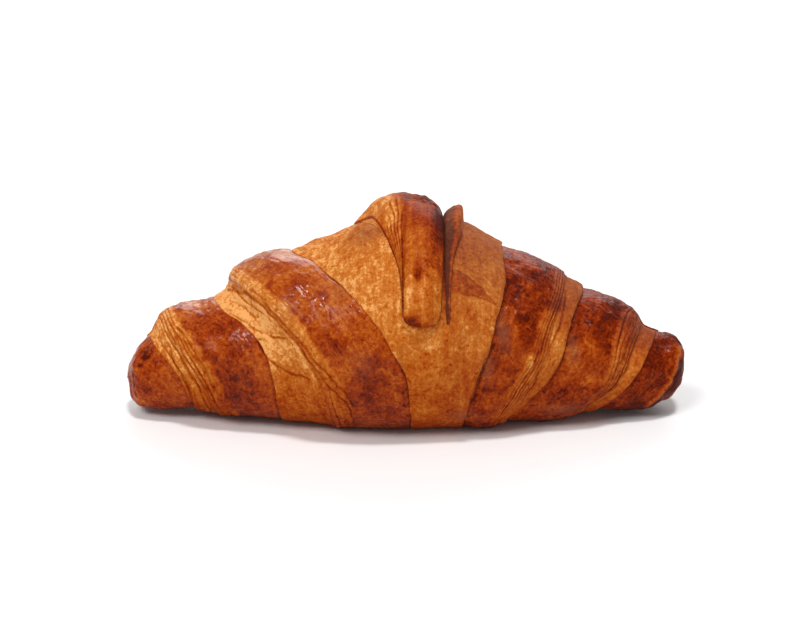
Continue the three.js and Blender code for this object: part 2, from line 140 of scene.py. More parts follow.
crust = {
    "creaseDepth": 0.3,
    "creaseWidth": 0.55,
    "lipRound": 0.9,
    "overhang": 0.3,
    "lumpSpan": 7.0,
    "lumpHeight": 0.35,
    "blisterSpan": 2.6,
    "blisterHeight": 0.2,
    "wrinkleSpan": 1.5,        # wrinkles run along the strip, this far apart
    "wrinkleHeight": 0.12,
    "grainSpan": 1.1,
    "grainHeight": 0.06,
    "fullBulgeWidth": 14.0,
    "underFade": 0.75,
    "pale": 0.2,               # how far the bare crust and the glaze have browned, from 0 to 1
    "glazed": 0.44,
}

# cracks and thin lines of the crust as (turn, x) with how dark each is; lines close to each other are in
# different groups
cracks = [
    {"group": "cutA", "dark": 0.9,
     "at": [(0.113, -50.1), (0.153, -45), (0.181, -41.5), (0.204, -35.7), (0.21, -31.7)]},
    {"group": "cutA", "dark": 1.0,
     "at": [(0.199, -41.3), (0.229, -39.4), (0.246, -37.4), (0.271, -31.7), (0.276, -25.3)]},
    {"group": "cutA", "dark": 0.9,
     "at": [(0.122, 13.4), (0.129, 16.8), (0.136, 19.1), (0.147, 21.4), (0.163, 24), (0.167, 25.5)]},
    {"group": "cutB", "dark": 0.8,
     "at": [(0.161, 14.3), (0.156, 19.5), (0.16, 21.9), (0.164, 25.1)]},
    {"group": "cutA", "dark": 0.7,
     "at": [(0.218, 25), (0.243, 22.7), (0.271, 21), (0.301, 19.1), (0.34, 17)]},
    {"group": "cutB", "dark": 0.7,
     "at": [(0.261, -1.6), (0.275, -0.2), (0.294, 1.7)]},
    {"group": "cutB", "dark": 0.6,
     "at": [(0.328, 1.9), (0.34, 3.4), (0.349, 0.9)]},
    # the strip nearest the left tip
    {"group": "cutA", "dark": 0.75,
     "at": [(0.1, -70.6), (0.119, -69.8), (0.183, -66.2), (0.239, -63.3), (0.31, -60.3), (0.371, -59.1)]},
    {"group": "cutB", "dark": 0.7,
     "at": [(0.12, -66), (0.164, -64.1), (0.203, -62.2), (0.251, -59.9), (0.31, -56.1)]},
    {"group": "cutA", "dark": 0.8,
     "at": [(0.08, -65.4), (0.167, -62.4), (0.203, -60.5), (0.244, -58.0), (0.297, -54.9), (0.36, -52.6)]},
    {"group": "cutB", "dark": 0.6,
     "at": [(0.11, -63.4), (0.158, -60.8), (0.208, -57.6), (0.25, -54.9), (0.311, -51.5)]},
    # the left arm's large turn
    {"group": "cutA", "dark": 1.0,
     "at": [(0.0, -51.2), (0.043, -49.1), (0.089, -45), (0.128, -40.2), (0.16, -36.4), (0.189, -33.4),
            (0.212, -30.1), (0.232, -27.3), (0.263, -22.8), (0.293, -18.8), (0.317, -15.7), (0.38, -13.5)]},
    {"group": "cutB", "dark": 0.75,
     "at": [(0.068, -50.4), (0.1, -47.1), (0.138, -43.5), (0.165, -40.7)]},
    {"group": "cutB", "dark": 0.7,
     "at": [(0.1, -42), (0.135, -38.1), (0.168, -34.5), (0.2, -30.7), (0.233, -25.5), (0.267, -20.1),
            (0.3, -15.6), (0.331, -13.5)]},
    # the right arm
    {"group": "cutA", "dark": 0.8,
     "at": [(0.06, 44.8), (0.101, 44.1), (0.176, 42.2), (0.21, 40), (0.244, 38.1), (0.282, 35.5),
            (0.312, 32.7)]},
    {"group": "cutB", "dark": 0.6,
     "at": [(0.086, 41.6), (0.139, 40.3), (0.183, 38.7), (0.222, 36.6), (0.263, 33.8), (0.292, 31.1)]},
    {"group": "cutA", "dark": 0.9,
     "at": [(0.0, 66.8), (0.096, 66.1), (0.158, 64), (0.221, 62.5), (0.3, 58)]},
    {"group": "cutB", "dark": 0.6,
     "at": [(0.05, 63.4), (0.12, 62.6), (0.19, 60.9), (0.25, 58.2)]},
    # the rolled ends of the tips
    {"group": "cutA", "dark": 0.8,
     "at": [(0.05, -80), (0.15, -79.2), (0.25, -78.6), (0.36, -78)]},
    {"group": "cutB", "dark": 0.7,
     "at": [(0.16, -77.6), (0.24, -77), (0.33, -76.4)]},
]
# oval spots: place, half width along x and round the roll, how much deeper or paler than the crust round
# them, how far they sink, how grey and how glossy; the marked ones are painted shade, sheen or highlights
spots = [
    # the next two spots are the hole in the left tip: it sinks, and is painted darker as painted shade in the
    # hollow
    {"x": -74.0, "turn": 0.128, "wide": 1.3, "round": 2.4, "tone": 0.7, "sink": 1.8},
    {"x": -75.2, "turn": 0.165, "wide": 0.9, "round": 1.8, "tone": 0.5, "sink": 0.9},
    {"x": -10.6, "turn": 0.042, "wide": 4.6, "round": 6.2, "tone": 0.16, "sink": 0, "dullAndPaintedLight": 0.65},
    {"x": -21.3, "turn": 0.138, "wide": 3.2, "round": 5.0, "tone": 0.0, "sink": 0, "gloss": 8.0},
    {"x": -44.3, "turn": 0.176, "wide": 2.4, "round": 5.0, "tone": 0.0, "sink": 0, "gloss": 7.0},
    # painted sheen: the next nine spots grey the glaze where it reflects the light, and two are painted paler
    # as painted highlights
    {"x": 26.6, "turn": 0.204, "wide": 1.8, "round": 4.6, "tone": 0.02, "sink": 0, "dullAndPaintedLight": 0.75},
    {"x": 22.4, "turn": 0.264, "wide": 1.6, "round": 4.0, "tone": 0.04, "sink": 0, "dullAndPaintedLight": 0.55},
    {"x": 46.2, "turn": 0.211, "wide": 1.6, "round": 3.2, "tone": 0.02, "sink": 0, "dullAndPaintedLight": 0.6},
    {"x": 44.3, "turn": 0.349, "wide": 5.0, "round": 1.8, "tone": 0.04, "sink": 0, "dullAndPaintedLight": 0.6},
    {"x": 15.9, "turn": 0.349, "wide": 3.4, "round": 2.2, "tone": 0.02, "sink": 0, "dullAndPaintedLight": 0.5},
    {"x": -17.6, "turn": 0.149, "wide": 2.4, "round": 3.4, "tone": -0.14, "sink": 0, "dullAndPaintedLight": 0.35},
    {"x": -31.1, "turn": 0.165, "wide": 2.2, "round": 2.6, "tone": -0.1, "sink": 0, "dullAndPaintedLight": 0.3},
    {"x": -10.8, "turn": 0.257, "wide": 3.0, "round": 4.6, "tone": 0.02, "sink": 0, "dullAndPaintedLight": 0.28},
    {"x": -43.7, "turn": 0.275, "wide": 2.6, "round": 3.4, "tone": 0.08, "sink": 0, "dullAndPaintedLight": 0.12},
    # painted shade in the groove between the tongue and the fold
    {"x": 10.9, "turn": 0.11, "wide": 1.0, "round": 12, "tone": 0.6, "sink": 0.6},
    {"x": 37.5, "turn": 0.12, "wide": 5.5, "round": 7.0, "tone": 0.12, "sink": 0},
    {"x": 31.6, "turn": 0.165, "wide": 2.0, "round": 3.2, "tone": 0.2, "sink": 0.1},
    {"x": 35.0, "turn": 0.215, "wide": 2.4, "round": 3.0, "tone": 0.16, "sink": 0},
    {"x": 33.6, "turn": 0.245, "wide": 2.0, "round": 4.5, "tone": -0.18, "sink": 0},
    {"x": 29.5, "turn": 0.09, "wide": 3.6, "round": 3.2, "tone": 0.02, "sink": 0},
    {"x": 55.6, "turn": 0.189, "wide": 1.6, "round": 1.6, "tone": 0.3, "sink": 0.3},
    {"x": 53.6, "turn": 0.149, "wide": 2.4, "round": 3.0, "tone": 0.12, "sink": 0},
    {"x": 51.0, "turn": 0.13, "wide": 2.6, "round": 3.6, "tone": -0.12, "sink": 0},
    {"x": 52.0, "turn": 0.25, "wide": 4.0, "round": 3.6, "tone": -0.14, "sink": 0},
    {"x": 66.4, "turn": 0.4, "wide": 4.5, "round": 3.0, "tone": 0.25, "sink": 0},
    {"x": 74.2, "turn": 0.09, "wide": 2.2, "round": 1.6, "tone": 0.2, "sink": 0.7},
    {"x": 72.6, "turn": 0.25, "wide": 2.2, "round": 2.4, "tone": 0.1, "sink": 0.3},
    {"x": -49.9, "turn": 0.263, "wide": 3.0, "round": 3.4, "tone": 0.1, "sink": 0},
    {"x": -48.0, "turn": 0.34, "wide": 3.6, "round": 4.0, "tone": 0.12, "sink": 0},
    {"x": -20.0, "turn": 0.2, "wide": 2.2, "round": 3.0, "tone": 0.1, "sink": 0},
    {"x": -14.5, "turn": 0.262, "wide": 4.2, "round": 4.0, "tone": -0.1, "sink": 0},
]
# the reddish patch on the right of the pale middle lies between two cracks, as (x, turn)
patchTop = [(12.6, 0.121), (13.4, 0.122), (16.8, 0.129), (19.1, 0.136), (21.4, 0.147), (24, 0.163),
            (26, 0.168)]
patchFoot = [(12.6, 0.163), (14.3, 0.161), (19.5, 0.156), (21.9, 0.16), (25.1, 0.164), (26, 0.168)]
patchTone = 0.26
# a light ridge with a dark rim beyond it on the right tip, as (turn, x)
tipRidge = {"at": [(0.06, 78.3), (0.151, 77.7), (0.206, 76.6), (0.271, 74.9), (0.301, 73), (0.34, 70.2),
                   (0.4, 67)],
            "wide": 0.9, "rise": 0.5, "tone": -0.48, "from": 60, "rimStart": (0.6, 1.4), "rimWide": 2.6,
            "rimFade": 1.5, "rimTone": 0.34}
# the crust swells where it passes under the tongue's left side
swelling = {"x": -10.5, "turn": 0.012, "wide": 4.6, "round": 7.0, "rise": 1.6}


def smoothCurve(at, knots):
    # cubic through the knots; each slope is the harmonic mean of its neighbours, so it never passes a knot
    xs, ys = np.array(knots, float).T
    gap, rise = np.diff(xs), np.diff(ys) / np.diff(xs)
    before, after = rise[:-1], rise[1:]
    wBefore, wAfter = 2 * gap[1:] + gap[:-1], gap[1:] + 2 * gap[:-1]
    together = before * after > 0
    safe = np.where(together, wBefore * after + wAfter * before, 1)
    slope = np.zeros(len(xs))
    slope[0], slope[-1] = rise[0], rise[-1]
    slope[1:-1] = np.where(together, (wBefore + wAfter) * before * after / safe, 0)
    at = np.clip(at, xs[0], xs[-1])
    i = np.clip(np.searchsorted(xs, at, side="right") - 1, 0, len(xs) - 2)
    t = (at - xs[i]) / gap[i]
    return (ys[i] * (1 + 2 * t) * (1 - t) ** 2 + slope[i] * gap[i] * t * (1 - t) ** 2
            + ys[i + 1] * t * t * (3 - 2 * t) + slope[i + 1] * gap[i] * t * t * (t - 1))


def smoothStep(start, end, at):
    # 0 before the start, 1 past the end, and 3t^2 - 2t^3 between them
    t = np.clip((at - start) / (end - start), 0, 1)
    return t * t * (3 - 2 * t)


gradients = np.random.default_rng(7).normal(size=(256, 3))
gradients /= np.linalg.norm(gradients, axis=1, keepdims=True)
noiseKeys = {"x": 73856093, "y": 19349663, "z": 83492791, "seed": 2654435761, "mix": 1274126177}
noiseShift = 17.3          # how far each seed moves the lattice
noiseGain = 1.6            # brings the range to about -1 to 1


def noise(points, span, seed=0):
    # gradient noise: at each corner of a lattice of this span a fixed random direction, dotted with the way
    # there and blended by 6t^5 - 15t^4 + 10t^3
    keys = noiseKeys
    p = points / np.asarray(span, float) + noiseShift * (seed + 1)
    cell = np.floor(p).astype(np.int64)
    f = p - cell
    w = f * f * f * (f * (f * 6 - 15) + 10)
    total = np.zeros(p.shape[:-1])
    for corner in np.ndindex(2, 2, 2):
        c = cell + corner
        h = (c[..., 0] * keys["x"]) ^ (c[..., 1] * keys["y"]) ^ (c[..., 2] * keys["z"])
        h = h ^ (seed * keys["seed"])
        h = (h ^ (h >> 13)) * keys["mix"]
        pick = (h ^ (h >> 16)) & 255
        dot = ((f - corner) * gradients[pick]).sum(-1)
        share = np.prod(np.where(np.array(corner) == 1, w, 1 - w), axis=-1)
        total += share * dot
    return total * noiseGain


def capShare(x):
    # the rounded ends are quarter ellipses: the root of one less the square of the way into the cap
    left = np.clip((roll["leftEnd"] + roll["leftCap"] - x) / roll["leftCap"], 0, 1)
    right = np.clip((x - roll["rightEnd"] + roll["rightCap"]) / roll["rightCap"], 0, 1)
    return np.sqrt(np.clip(1 - left ** 2, 0, 1)) * np.sqrt(np.clip(1 - right ** 2, 0, 1))


def rollPoint(x, turn):
    # superellipse between crown and underside: radius = (|sin/depth|^n + |cos/height|^n)^(-1/n)
    angle = turn * 2 * math.pi
    crown, under = smoothCurve(x, roll["crown"]), smoothCurve(x, roll["under"])
    height = np.maximum((crown - under) / 2 * capShare(x), 0.01)
    up, front = np.cos(angle), np.sin(angle)
    n = np.where(up > 0, roll["upperRoundness"], roll["lowerRoundness"])
    depth = height * roll["depthToHeight"]
    radius = ((np.abs(front) / depth) ** n + (np.abs(up) / height) ** n) ** (-1 / n)
    return np.stack([x, -front * radius, (crown + under) / 2 + up * radius], -1)


def rollNormal(x, turn):
    # across the two directions of the surface, by small steps to both sides
    step, spin = 0.05, 0.001
    low = np.maximum(x - step, roll["leftEnd"] + 0.01)
    high = np.minimum(x + step, roll["rightEnd"] - 0.01)
    along = rollPoint(high, turn) - rollPoint(low, turn)
    around = rollPoint(x, turn + spin) - rollPoint(x, turn - spin)
    n = np.cross(around, along)
    return n / np.linalg.norm(n, axis=-1, keepdims=True)


def girth(x):
    # length round the roll: an ellipse's, by its mean half height and depth
    half = (smoothCurve(x, roll["crown"]) - smoothCurve(x, roll["under"])) / 2
    return math.pi * (1 + roll["depthToHeight"]) * half


def alongEdges(place, turn, firstTurn):
    # a ring named by its place on the crown keeps its share of the way between neighbouring edges
    atTop = [roll["leftEnd"]] + [float(smoothCurve(k, leftEdge)) for k in (0, 1, 2)]
    atTurn = [np.full_like(turn, roll["leftEnd"])] + [smoothCurve(firstTurn + k, leftEdge) for k in (0, 1, 2)]
    rightTop = [float(smoothCurve(k, rightEdge)) for k in (2, 1, 0)]
    rightTurn = [smoothCurve(firstTurn + k, rightEdge) for k in (2, 1, 0)]
    atTop = atTop + [(atTop[3] + rightTop[0]) / 2] + rightTop + [roll["rightEnd"]]
    atTurn = atTurn + [(atTurn[3] + rightTurn[0]) / 2] + rightTurn + [np.full_like(turn, roll["rightEnd"])]
    atTop, atTurn = np.array(atTop), np.stack(atTurn)
    i = np.clip(np.searchsorted(atTop, place, side="right") - 1, 0, len(atTop) - 2)
    f = ((place - atTop[i]) / (atTop[i + 1] - atTop[i]))[:, None]
    return atTurn[i] * (1 - f) + atTurn[i + 1] * f


edgePair = 0.14            # mm from an edge of the strip to the rings on both sides of it
outlineSamples = 4001


def ringPlaces(start, end, count, edges):
    # even along the outline, plus close pairs at every edge of the strip
    gap = edgePair
    x = np.linspace(start, end, outlineSamples)
    radius = (smoothCurve(x, roll["crown"]) - smoothCurve(x, roll["under"])) / 2 * capShare(x)
    front = alongEdges(x, np.array([0.25]), np.array([0.25]))[:, 0]
    stride = np.maximum(np.diff(x), np.diff(front))
    run = np.concatenate([[0], np.cumsum(np.hypot(stride, np.diff(radius)))])
    places = np.interp((np.arange(count) + 0.5) / count * run[-1], run, x)
    for edge in edges:
        places = places[np.abs(places - edge) > 1.2 * gap]
        places = np.concatenate([places, [edge - gap, edge + gap]])
    return np.sort(places[(places > start) & (places < end)])


def ringGrid(places, count):
    # x of every ring at every turn; behind the underside the rings shift from one round of edges to the next
    turn = np.arange(count) / count
    front = alongEdges(places, turn, turn)
    back = alongEdges(places, turn, turn - 1)
    foot = alongEdges(places, np.array([roll["underStart"]]), np.array([roll["underStart"]]))
    heel = alongEdges(places, np.array([roll["underEnd"]]), np.array([roll["underEnd"] - 1]))
    mix = smoothStep(roll["underStart"], roll["underEnd"], turn)
    under = foot * (1 - mix) + heel * mix
    x = np.where(turn <= roll["underStart"], front, np.where(turn >= roll["underEnd"], back, under))
    return x, np.broadcast_to(turn, x.shape).copy()


def bandPlace(x, turn, edge, side):
    # the band that holds each point: its share across, its turn and its width
    turn = turn % 1
    share, bandTurn = np.full(x.shape, -1.0), np.full(x.shape, 9.0)
    width = np.ones(x.shape)
    for k in (2, 1, 0, -1, -2):
        outer = side * smoothCurve(turn + k, edge)
        inner = side * smoothCurve(turn + k + 1, edge)
        inside = (side * x <= outer) & (side * x > inner)
        share = np.where(inside, (side * x - inner) / np.maximum(outer - inner, 1e-3), share)
        bandTurn = np.where(inside, turn + k, bandTurn)
        width = np.where(inside, outer - inner, width)
    return share, bandTurn, width


layering = {
    "rolledTurns": (1.9, 1.6),     # past these turns the strip is the smooth middle length
    "tipTurns": (0.3, 0.7),        # here the tips' section gives way to the arms'
    "creaseTurn": 2.05,            # up to this turn a band's inner edge has a crease
    "overhangTurn": 2.45,          # and up to this one its outer edge stands over the next band
    "overhangReach": 0.9,
    "overhangBend": 0.8,           # how far the lip rounds down
    "stepFrom": 0.3,               # share across the band from which the layered part rises to its step
    "stepEdge": 0.5,
    # painted shadow lines along the creases, under the lips and at the layered step: half width in mm, and
    # how dark
    "edgeLine": (0.3, 0.15),
    "mainLine": (0.4, 0.3),
    "creaseShade": 0.42,
    # one layer line's strength: the least, its own share, how it comes and goes along itself, and the most
    "lineLeast": 0.16, "lineOwn": 0.45, "lineComes": 0.8, "lineMost": 0.8,
    "lineSpan": 7.0,
    "lineKeys": (37, 31),          # set neighbouring lines apart
    "leastGap": 0.4,
    "fullGap": 1.2,                # at this distance apart the layers stand at their full height
    "sunkenStart": 0.3,            # share of a layer over which it rises from the line before it
    "flatten": 0.55,               # how far it sinks again towards the next
}


def layerLines(place, flow, seed):
    # thin lines at the whole numbers of place: the strength of the nearest one, which comes and goes along it
    nearest = np.round(place)
    ownKey, apart = layering["lineKeys"]
    own = np.abs(gradients[(nearest.astype(int) * ownKey + seed) & 255, 0])
    comes = noise(flow + apart * nearest[..., None], layering["lineSpan"], seed + 2)
    strength = layering["lineLeast"] + layering["lineOwn"] * own + layering["lineComes"] * comes
    return np.clip(strength, 0, layering["lineMost"])


def bandLooks(x, turn, base, band):
    # what one arm's bands add to the plain roll: height, overhang, and the masks of its crust
    seed = band["seed"]
    share, bandTurn, width = bandPlace(x, turn, band["edge"], band["side"])
    found = share >= 0
    # the middle length has no layers and no glaze
    rolled = smoothStep(*layering["rolledTurns"], bandTurn)
    flow = np.stack([share * width, base[..., 1] / 3, base[..., 2] / 3], -1)
    fit = np.minimum(width / crust["fullBulgeWidth"], 1)
    onArm = smoothStep(*layering["tipTurns"], bandTurn)
    form = onArm * smoothCurve(share, band["form"]) + (1 - onArm) * smoothCurve(share, band["tipForm"])
    inward, outward = share * width, (1 - share) * width          # distances to the two edges
    glazeEnd, layerAt = smoothCurve(bandTurn, band["glazeEnd"]), smoothCurve(bandTurn, band["layer"])
    creased = bandTurn < layering["creaseTurn"]
    lip = smoothCurve(bandTurn, band["lip"])
    lipRound = crust["lipRound"] * np.minimum(lip / 0.8 + 0.3, 1)
    rounding = np.clip(1 - outward / lipRound, 0, 1)
    height = fit * smoothCurve(bandTurn, band["bulge"]) * form
    bend = layering["overhangBend"] * (1 - np.sqrt(1 - rounding ** 2))
    height += lip * (smoothStep(0.5, 0.97, share) - bend)
    broken = np.clip(0.6 + 0.8 * noise(flow, 4.0, seed + 4), 0.1, 1.2)
    crease = creased * np.exp(-(inward / crust["creaseWidth"]) ** 2)
    height -= crust["creaseDepth"] * fit * crease * broken
    ragged = 0.35 + 0.65 * smoothStep(-0.5, 0.3, noise(flow, 14.0, seed + 5))
    edge = np.clip(1 - (layerAt - share) * width / layering["stepEdge"], 0, 1)
    stepShape = (share < layerAt) * (smoothStep(layering["stepFrom"], layerAt, share) - 0.5 * edge ** 2)
    height += fit * rolled * ragged * band["layerStep"] * stepShape
    # layers: their place counts from 0 where the glaze ends to lineCount at the step
    gap = np.maximum((layerAt - glazeEnd) * width / band["lineCount"], layering["leastGap"])
    layers = (share - glazeEnd) * width / gap + 0.4 * noise(flow, 13.0, seed)
    layers = layers + 0.55 * noise(flow * (1, 0.4, 0.4), 3.2, seed + 1) + 0.15 * noise(flow, 3.0, seed + 3)
    layerEnd = band["lineCount"] + smoothCurve(bandTurn, band["linesBeyond"])
    layered = rolled * smoothStep(0.1, 0.6, layers) * smoothStep(layerEnd + 0.6, layerEnd + 0.1, layers)
    part = layers - np.floor(layers)
    ridge = smoothStep(0, layering["sunkenStart"], part)
    ridge = ridge * (1 - layering["flatten"] * smoothStep(0.5, 1, part))
    stands = smoothCurve(bandTurn, band["layerHeight"]) * np.minimum(gap / layering["fullGap"], 1)
    height += stands * layered * ridge
    flaky = layered * layerLines(layers, flow, seed)
    mainWide, mainDark = layering["mainLine"]
    edgeWide, edgeDark = layering["edgeLine"]
    mainLine = rolled * np.exp(-((share - layerAt) * width / mainWide) ** 2) * ragged
    stray = 0.9 * noise(flow, 5.0, seed + 7) + 0.5 * noise(base, 1.7, seed + 8)          # mm
    full = smoothStep(0.7, -0.7, (share - glazeEnd) * width - stray)
    half = smoothStep(0.5, -0.3, (share - layerAt) * width - 0.3 * stray)
    glaze = rolled * (full + (half - full) * smoothCurve(bandTurn, band["layerGlaze"]))
    # painted shade: dark lines in the crease at each band's inner edge, under its lip and at its step
    edgeLine = creased * np.exp(-(outward / edgeWide) ** 2) * edgeDark
    lines = np.clip(broken * (layering["creaseShade"] * crease ** 2 + edgeLine) + mainDark * mainLine, 0, 1)
    over = crust["overhang"] * lip * band["side"] * np.exp(-(outward / layering["overhangReach"]) ** 2)
    over = over * (bandTurn < layering["overhangTurn"])
    across = np.where(bandTurn < 2, inward, x + 40)
    looks = {"height": height, "over": over, "glaze": np.clip(glaze, 0, 1), "lines": lines, "flaky": flaky,
             "layers": layers, "gap": gap, "across": across, "baked": smoothCurve(bandTurn, band["baked"])}
    return {key: np.where(found, v, 0.0) for key, v in looks.items()}, found


noCut = 3.0                # mm: this far from a crack, and further, its mask says there is none
marking = {
    "far": 99.0,               # stands for no crack anywhere near
    "stray": 0.35, "straySpan": 2.4,
    "crackDepth": 0.22, "crackHalf": 0.45,
    "crackEnds": 0.35,         # share of its first and last piece over which a crack fades
    "matt": 0.8,               # a spot that sinks further than this has no glaze
    "mottleShare": 0.8,
    "patchEnds": (12.6, 25.8), "patchEdges": (0.006, 0.004),
}


def lineDistance(x, turn, base, knots):
    # signed distance in mm to a bent line on the surface, which strays a little; and how far along the line
    # the nearest place is, from 0 to the number of its pieces
    around = float(girth(np.mean([k[1] for k in knots])))
    stray, span = marking["stray"], marking["straySpan"]
    p = np.stack([x + stray * noise(base, span, 51), turn * around + stray * noise(base, span, 52)], -1)
    best, signed = np.full(x.shape, marking["far"]), np.full(x.shape, marking["far"])
    along = np.zeros(x.shape)
    for i, ((turnA, xA), (turnB, xB)) in enumerate(zip(knots[:-1], knots[1:])):
        a, b = np.array([xA, turnA * around]), np.array([xB, turnB * around])
        run = b - a
        t = np.clip(((p - a) @ run) / (run @ run), 0, 1)
        away = np.linalg.norm(p - a - t[..., None] * run, axis=-1)
        side = np.sign((p[..., 0] - xA) * run[1] - (p[..., 1] - a[1]) * run[0])
        nearer = away < best
        signed = np.where(nearer, side * away, signed)
        along = np.where(nearer, i + t, along)
        best = np.minimum(best, away)
    return signed, along


def surfaceMarks(x, turn, base):
    # cracks, spots, the reddish patch and the tip's ridge: height, tone, dullness with painted sheen and
    # shade, mattness, gloss and the cracks' masks
    height, tone = np.zeros(x.shape), np.zeros(x.shape)
    cuts = {name: np.full(x.shape, marking["far"]) for name in ("cutA", "cutB")}
    darks = {name: np.zeros(x.shape) for name in cuts}
    dullAndPaintedLight, matt, glossy = np.zeros(x.shape), np.zeros(x.shape), np.zeros(x.shape)
    for crack in cracks:
        name, pieces = crack["group"], len(crack["at"]) - 1
        away, along = lineDistance(x, turn, base, crack["at"])
        ends = smoothStep(0, marking["crackEnds"], along)
        ends *= smoothStep(pieces, pieces - marking["crackEnds"], along)
        comes = np.clip(0.85 + 0.6 * noise(base, 4.0, 55), 0.25, 1.1)
        nearer = np.abs(away) < np.abs(cuts[name])
        dark = crack["dark"] * ends * comes * smoothStep(1.6, 0.9, np.abs(away))
        cuts[name] = np.where(nearer, away, cuts[name])
        darks[name] = np.where(nearer, dark, darks[name])
        height -= marking["crackDepth"] * crack["dark"] * ends * np.exp(-(away / marking["crackHalf"]) ** 2)
    mottle = noise(base, 1.3, 53)
    for spot in spots:
        side = (x - spot["x"]) / spot["wide"]
        up = ((turn - spot["turn"] + 0.5) % 1 - 0.5) * girth(np.array(spot["x"])) / spot["round"]
        inside = np.exp(-(side ** 2 + up ** 2) * (1 + 0.5 * noise(base, 2.2, 54)))
        tone += spot["tone"] * inside * (1 + marking["mottleShare"] * mottle)
        height -= spot["sink"] * inside
        dullAndPaintedLight += spot.get("dullAndPaintedLight", 0) * inside
        matt += (spot["sink"] > marking["matt"]) * inside
        glossy += spot.get("gloss", 0) * inside
    patchLeft, patchRight = marking["patchEnds"]
    topEdge, footEdge = marking["patchEdges"]
    inPatch = smoothStep(0, topEdge, turn - smoothCurve(x, patchTop)) * (x > patchLeft) * (x < patchRight)
    inPatch *= smoothStep(0, footEdge, smoothCurve(x, patchFoot) - turn)
    tone += patchTone * inPatch * (1 + marking["mottleShare"] * mottle)
    away, along = lineDistance(x, turn, base, tipRidge["at"])
    pieces = len(tipRidge["at"]) - 1
    ends = smoothStep(0, 0.5, along) * smoothStep(pieces, pieces - 1, along)
    ridge = ends * np.exp(-(away / tipRidge["wide"]) ** 2)
    beyond = ends * (x > tipRidge["from"]) * smoothStep(*tipRidge["rimStart"], away)
    beyond = beyond * smoothStep(tipRidge["rimWide"] + tipRidge["rimFade"], tipRidge["rimWide"], away)
    height += tipRidge["rise"] * ridge
    tone += tipRidge["tone"] * ridge + tipRidge["rimTone"] * beyond
    masks = {name: np.clip(away, -noCut, noCut) for name, away in cuts.items()}
    masks.update(darkA=darks["cutA"], darkB=darks["cutB"])
    return height, tone, dullAndPaintedLight, np.clip(matt, 0, 1), glossy, masks


def swellingRise(x, turn):
    # an oval bump: rise times e^-(r^2)
    across = (x - swelling["x"]) / swelling["wide"]
    up = ((turn - swelling["turn"] + 0.5) % 1 - 0.5) * girth(np.array(swelling["x"])) / swelling["round"]
    return swelling["rise"] * np.exp(-(across ** 2) - up ** 2)


def settle(points):
    # nothing goes through the table: below it the height is pressed flat, with a rounded rim
    soft = roll["contactSoftness"]
    z = points[..., 2]
    points[..., 2] = np.where(z > soft, z, np.where(z < -soft, 0, (z + soft) ** 2 / (4 * soft)))
    points[..., 1] += roll["setBack"]
    return points


maskNames = ("glaze", "gloss", "lines", "tone", "flaky", "layers", "gap", "across", "cutA", "cutB", "darkA",
             "darkB", "dullAndPaintedLight")


# how much deeper (or, taken off, paler) each place is, and how grey or glossy: the tips bake deeper; the
# lower half is painted darker as painted shade, partly deeper baking; the right side is painted darker and
# its upper bare crust greyer as painted shade; on the left the upper bare crust is painted paler as painted
# light and the glazed crest paler as a painted sheen
bakingAndPaintedLight = {
    "lumps": 0.04, "wrinkles": 0.05,
    "low": 0.34, "lowGlazed": 0.28,            # painted shade: the lower half is darker, partly deeper baking, less so where it is glazed
    "lowFront": (0.16, 0.42), "lowBack": (0.84, 0.58),
    "crest": 0.12, "crestTurns": (0.16, 0.04),
    "paintedLightLeft": 0.09, "paintedLightLeftFrom": (-12, -30), "paintedLightLeftTurns": (0.34, 0.24),
    "tips": 0.1, "tipsFrom": (55, 80), "tipsMiddle": -4,
    "right": 0.08, "rightFrom": (6, 16),
    "upper": 0.1, "upperFront": (0.21, 0.07), "upperBack": (0.8, 1),
    "shadeGreyUpper": 0.44, "shadeGreyRight": 0.12,
    "glossRight": 0.6, "glossCrest": 4.8, "glossCrestRight": 4.2,
}


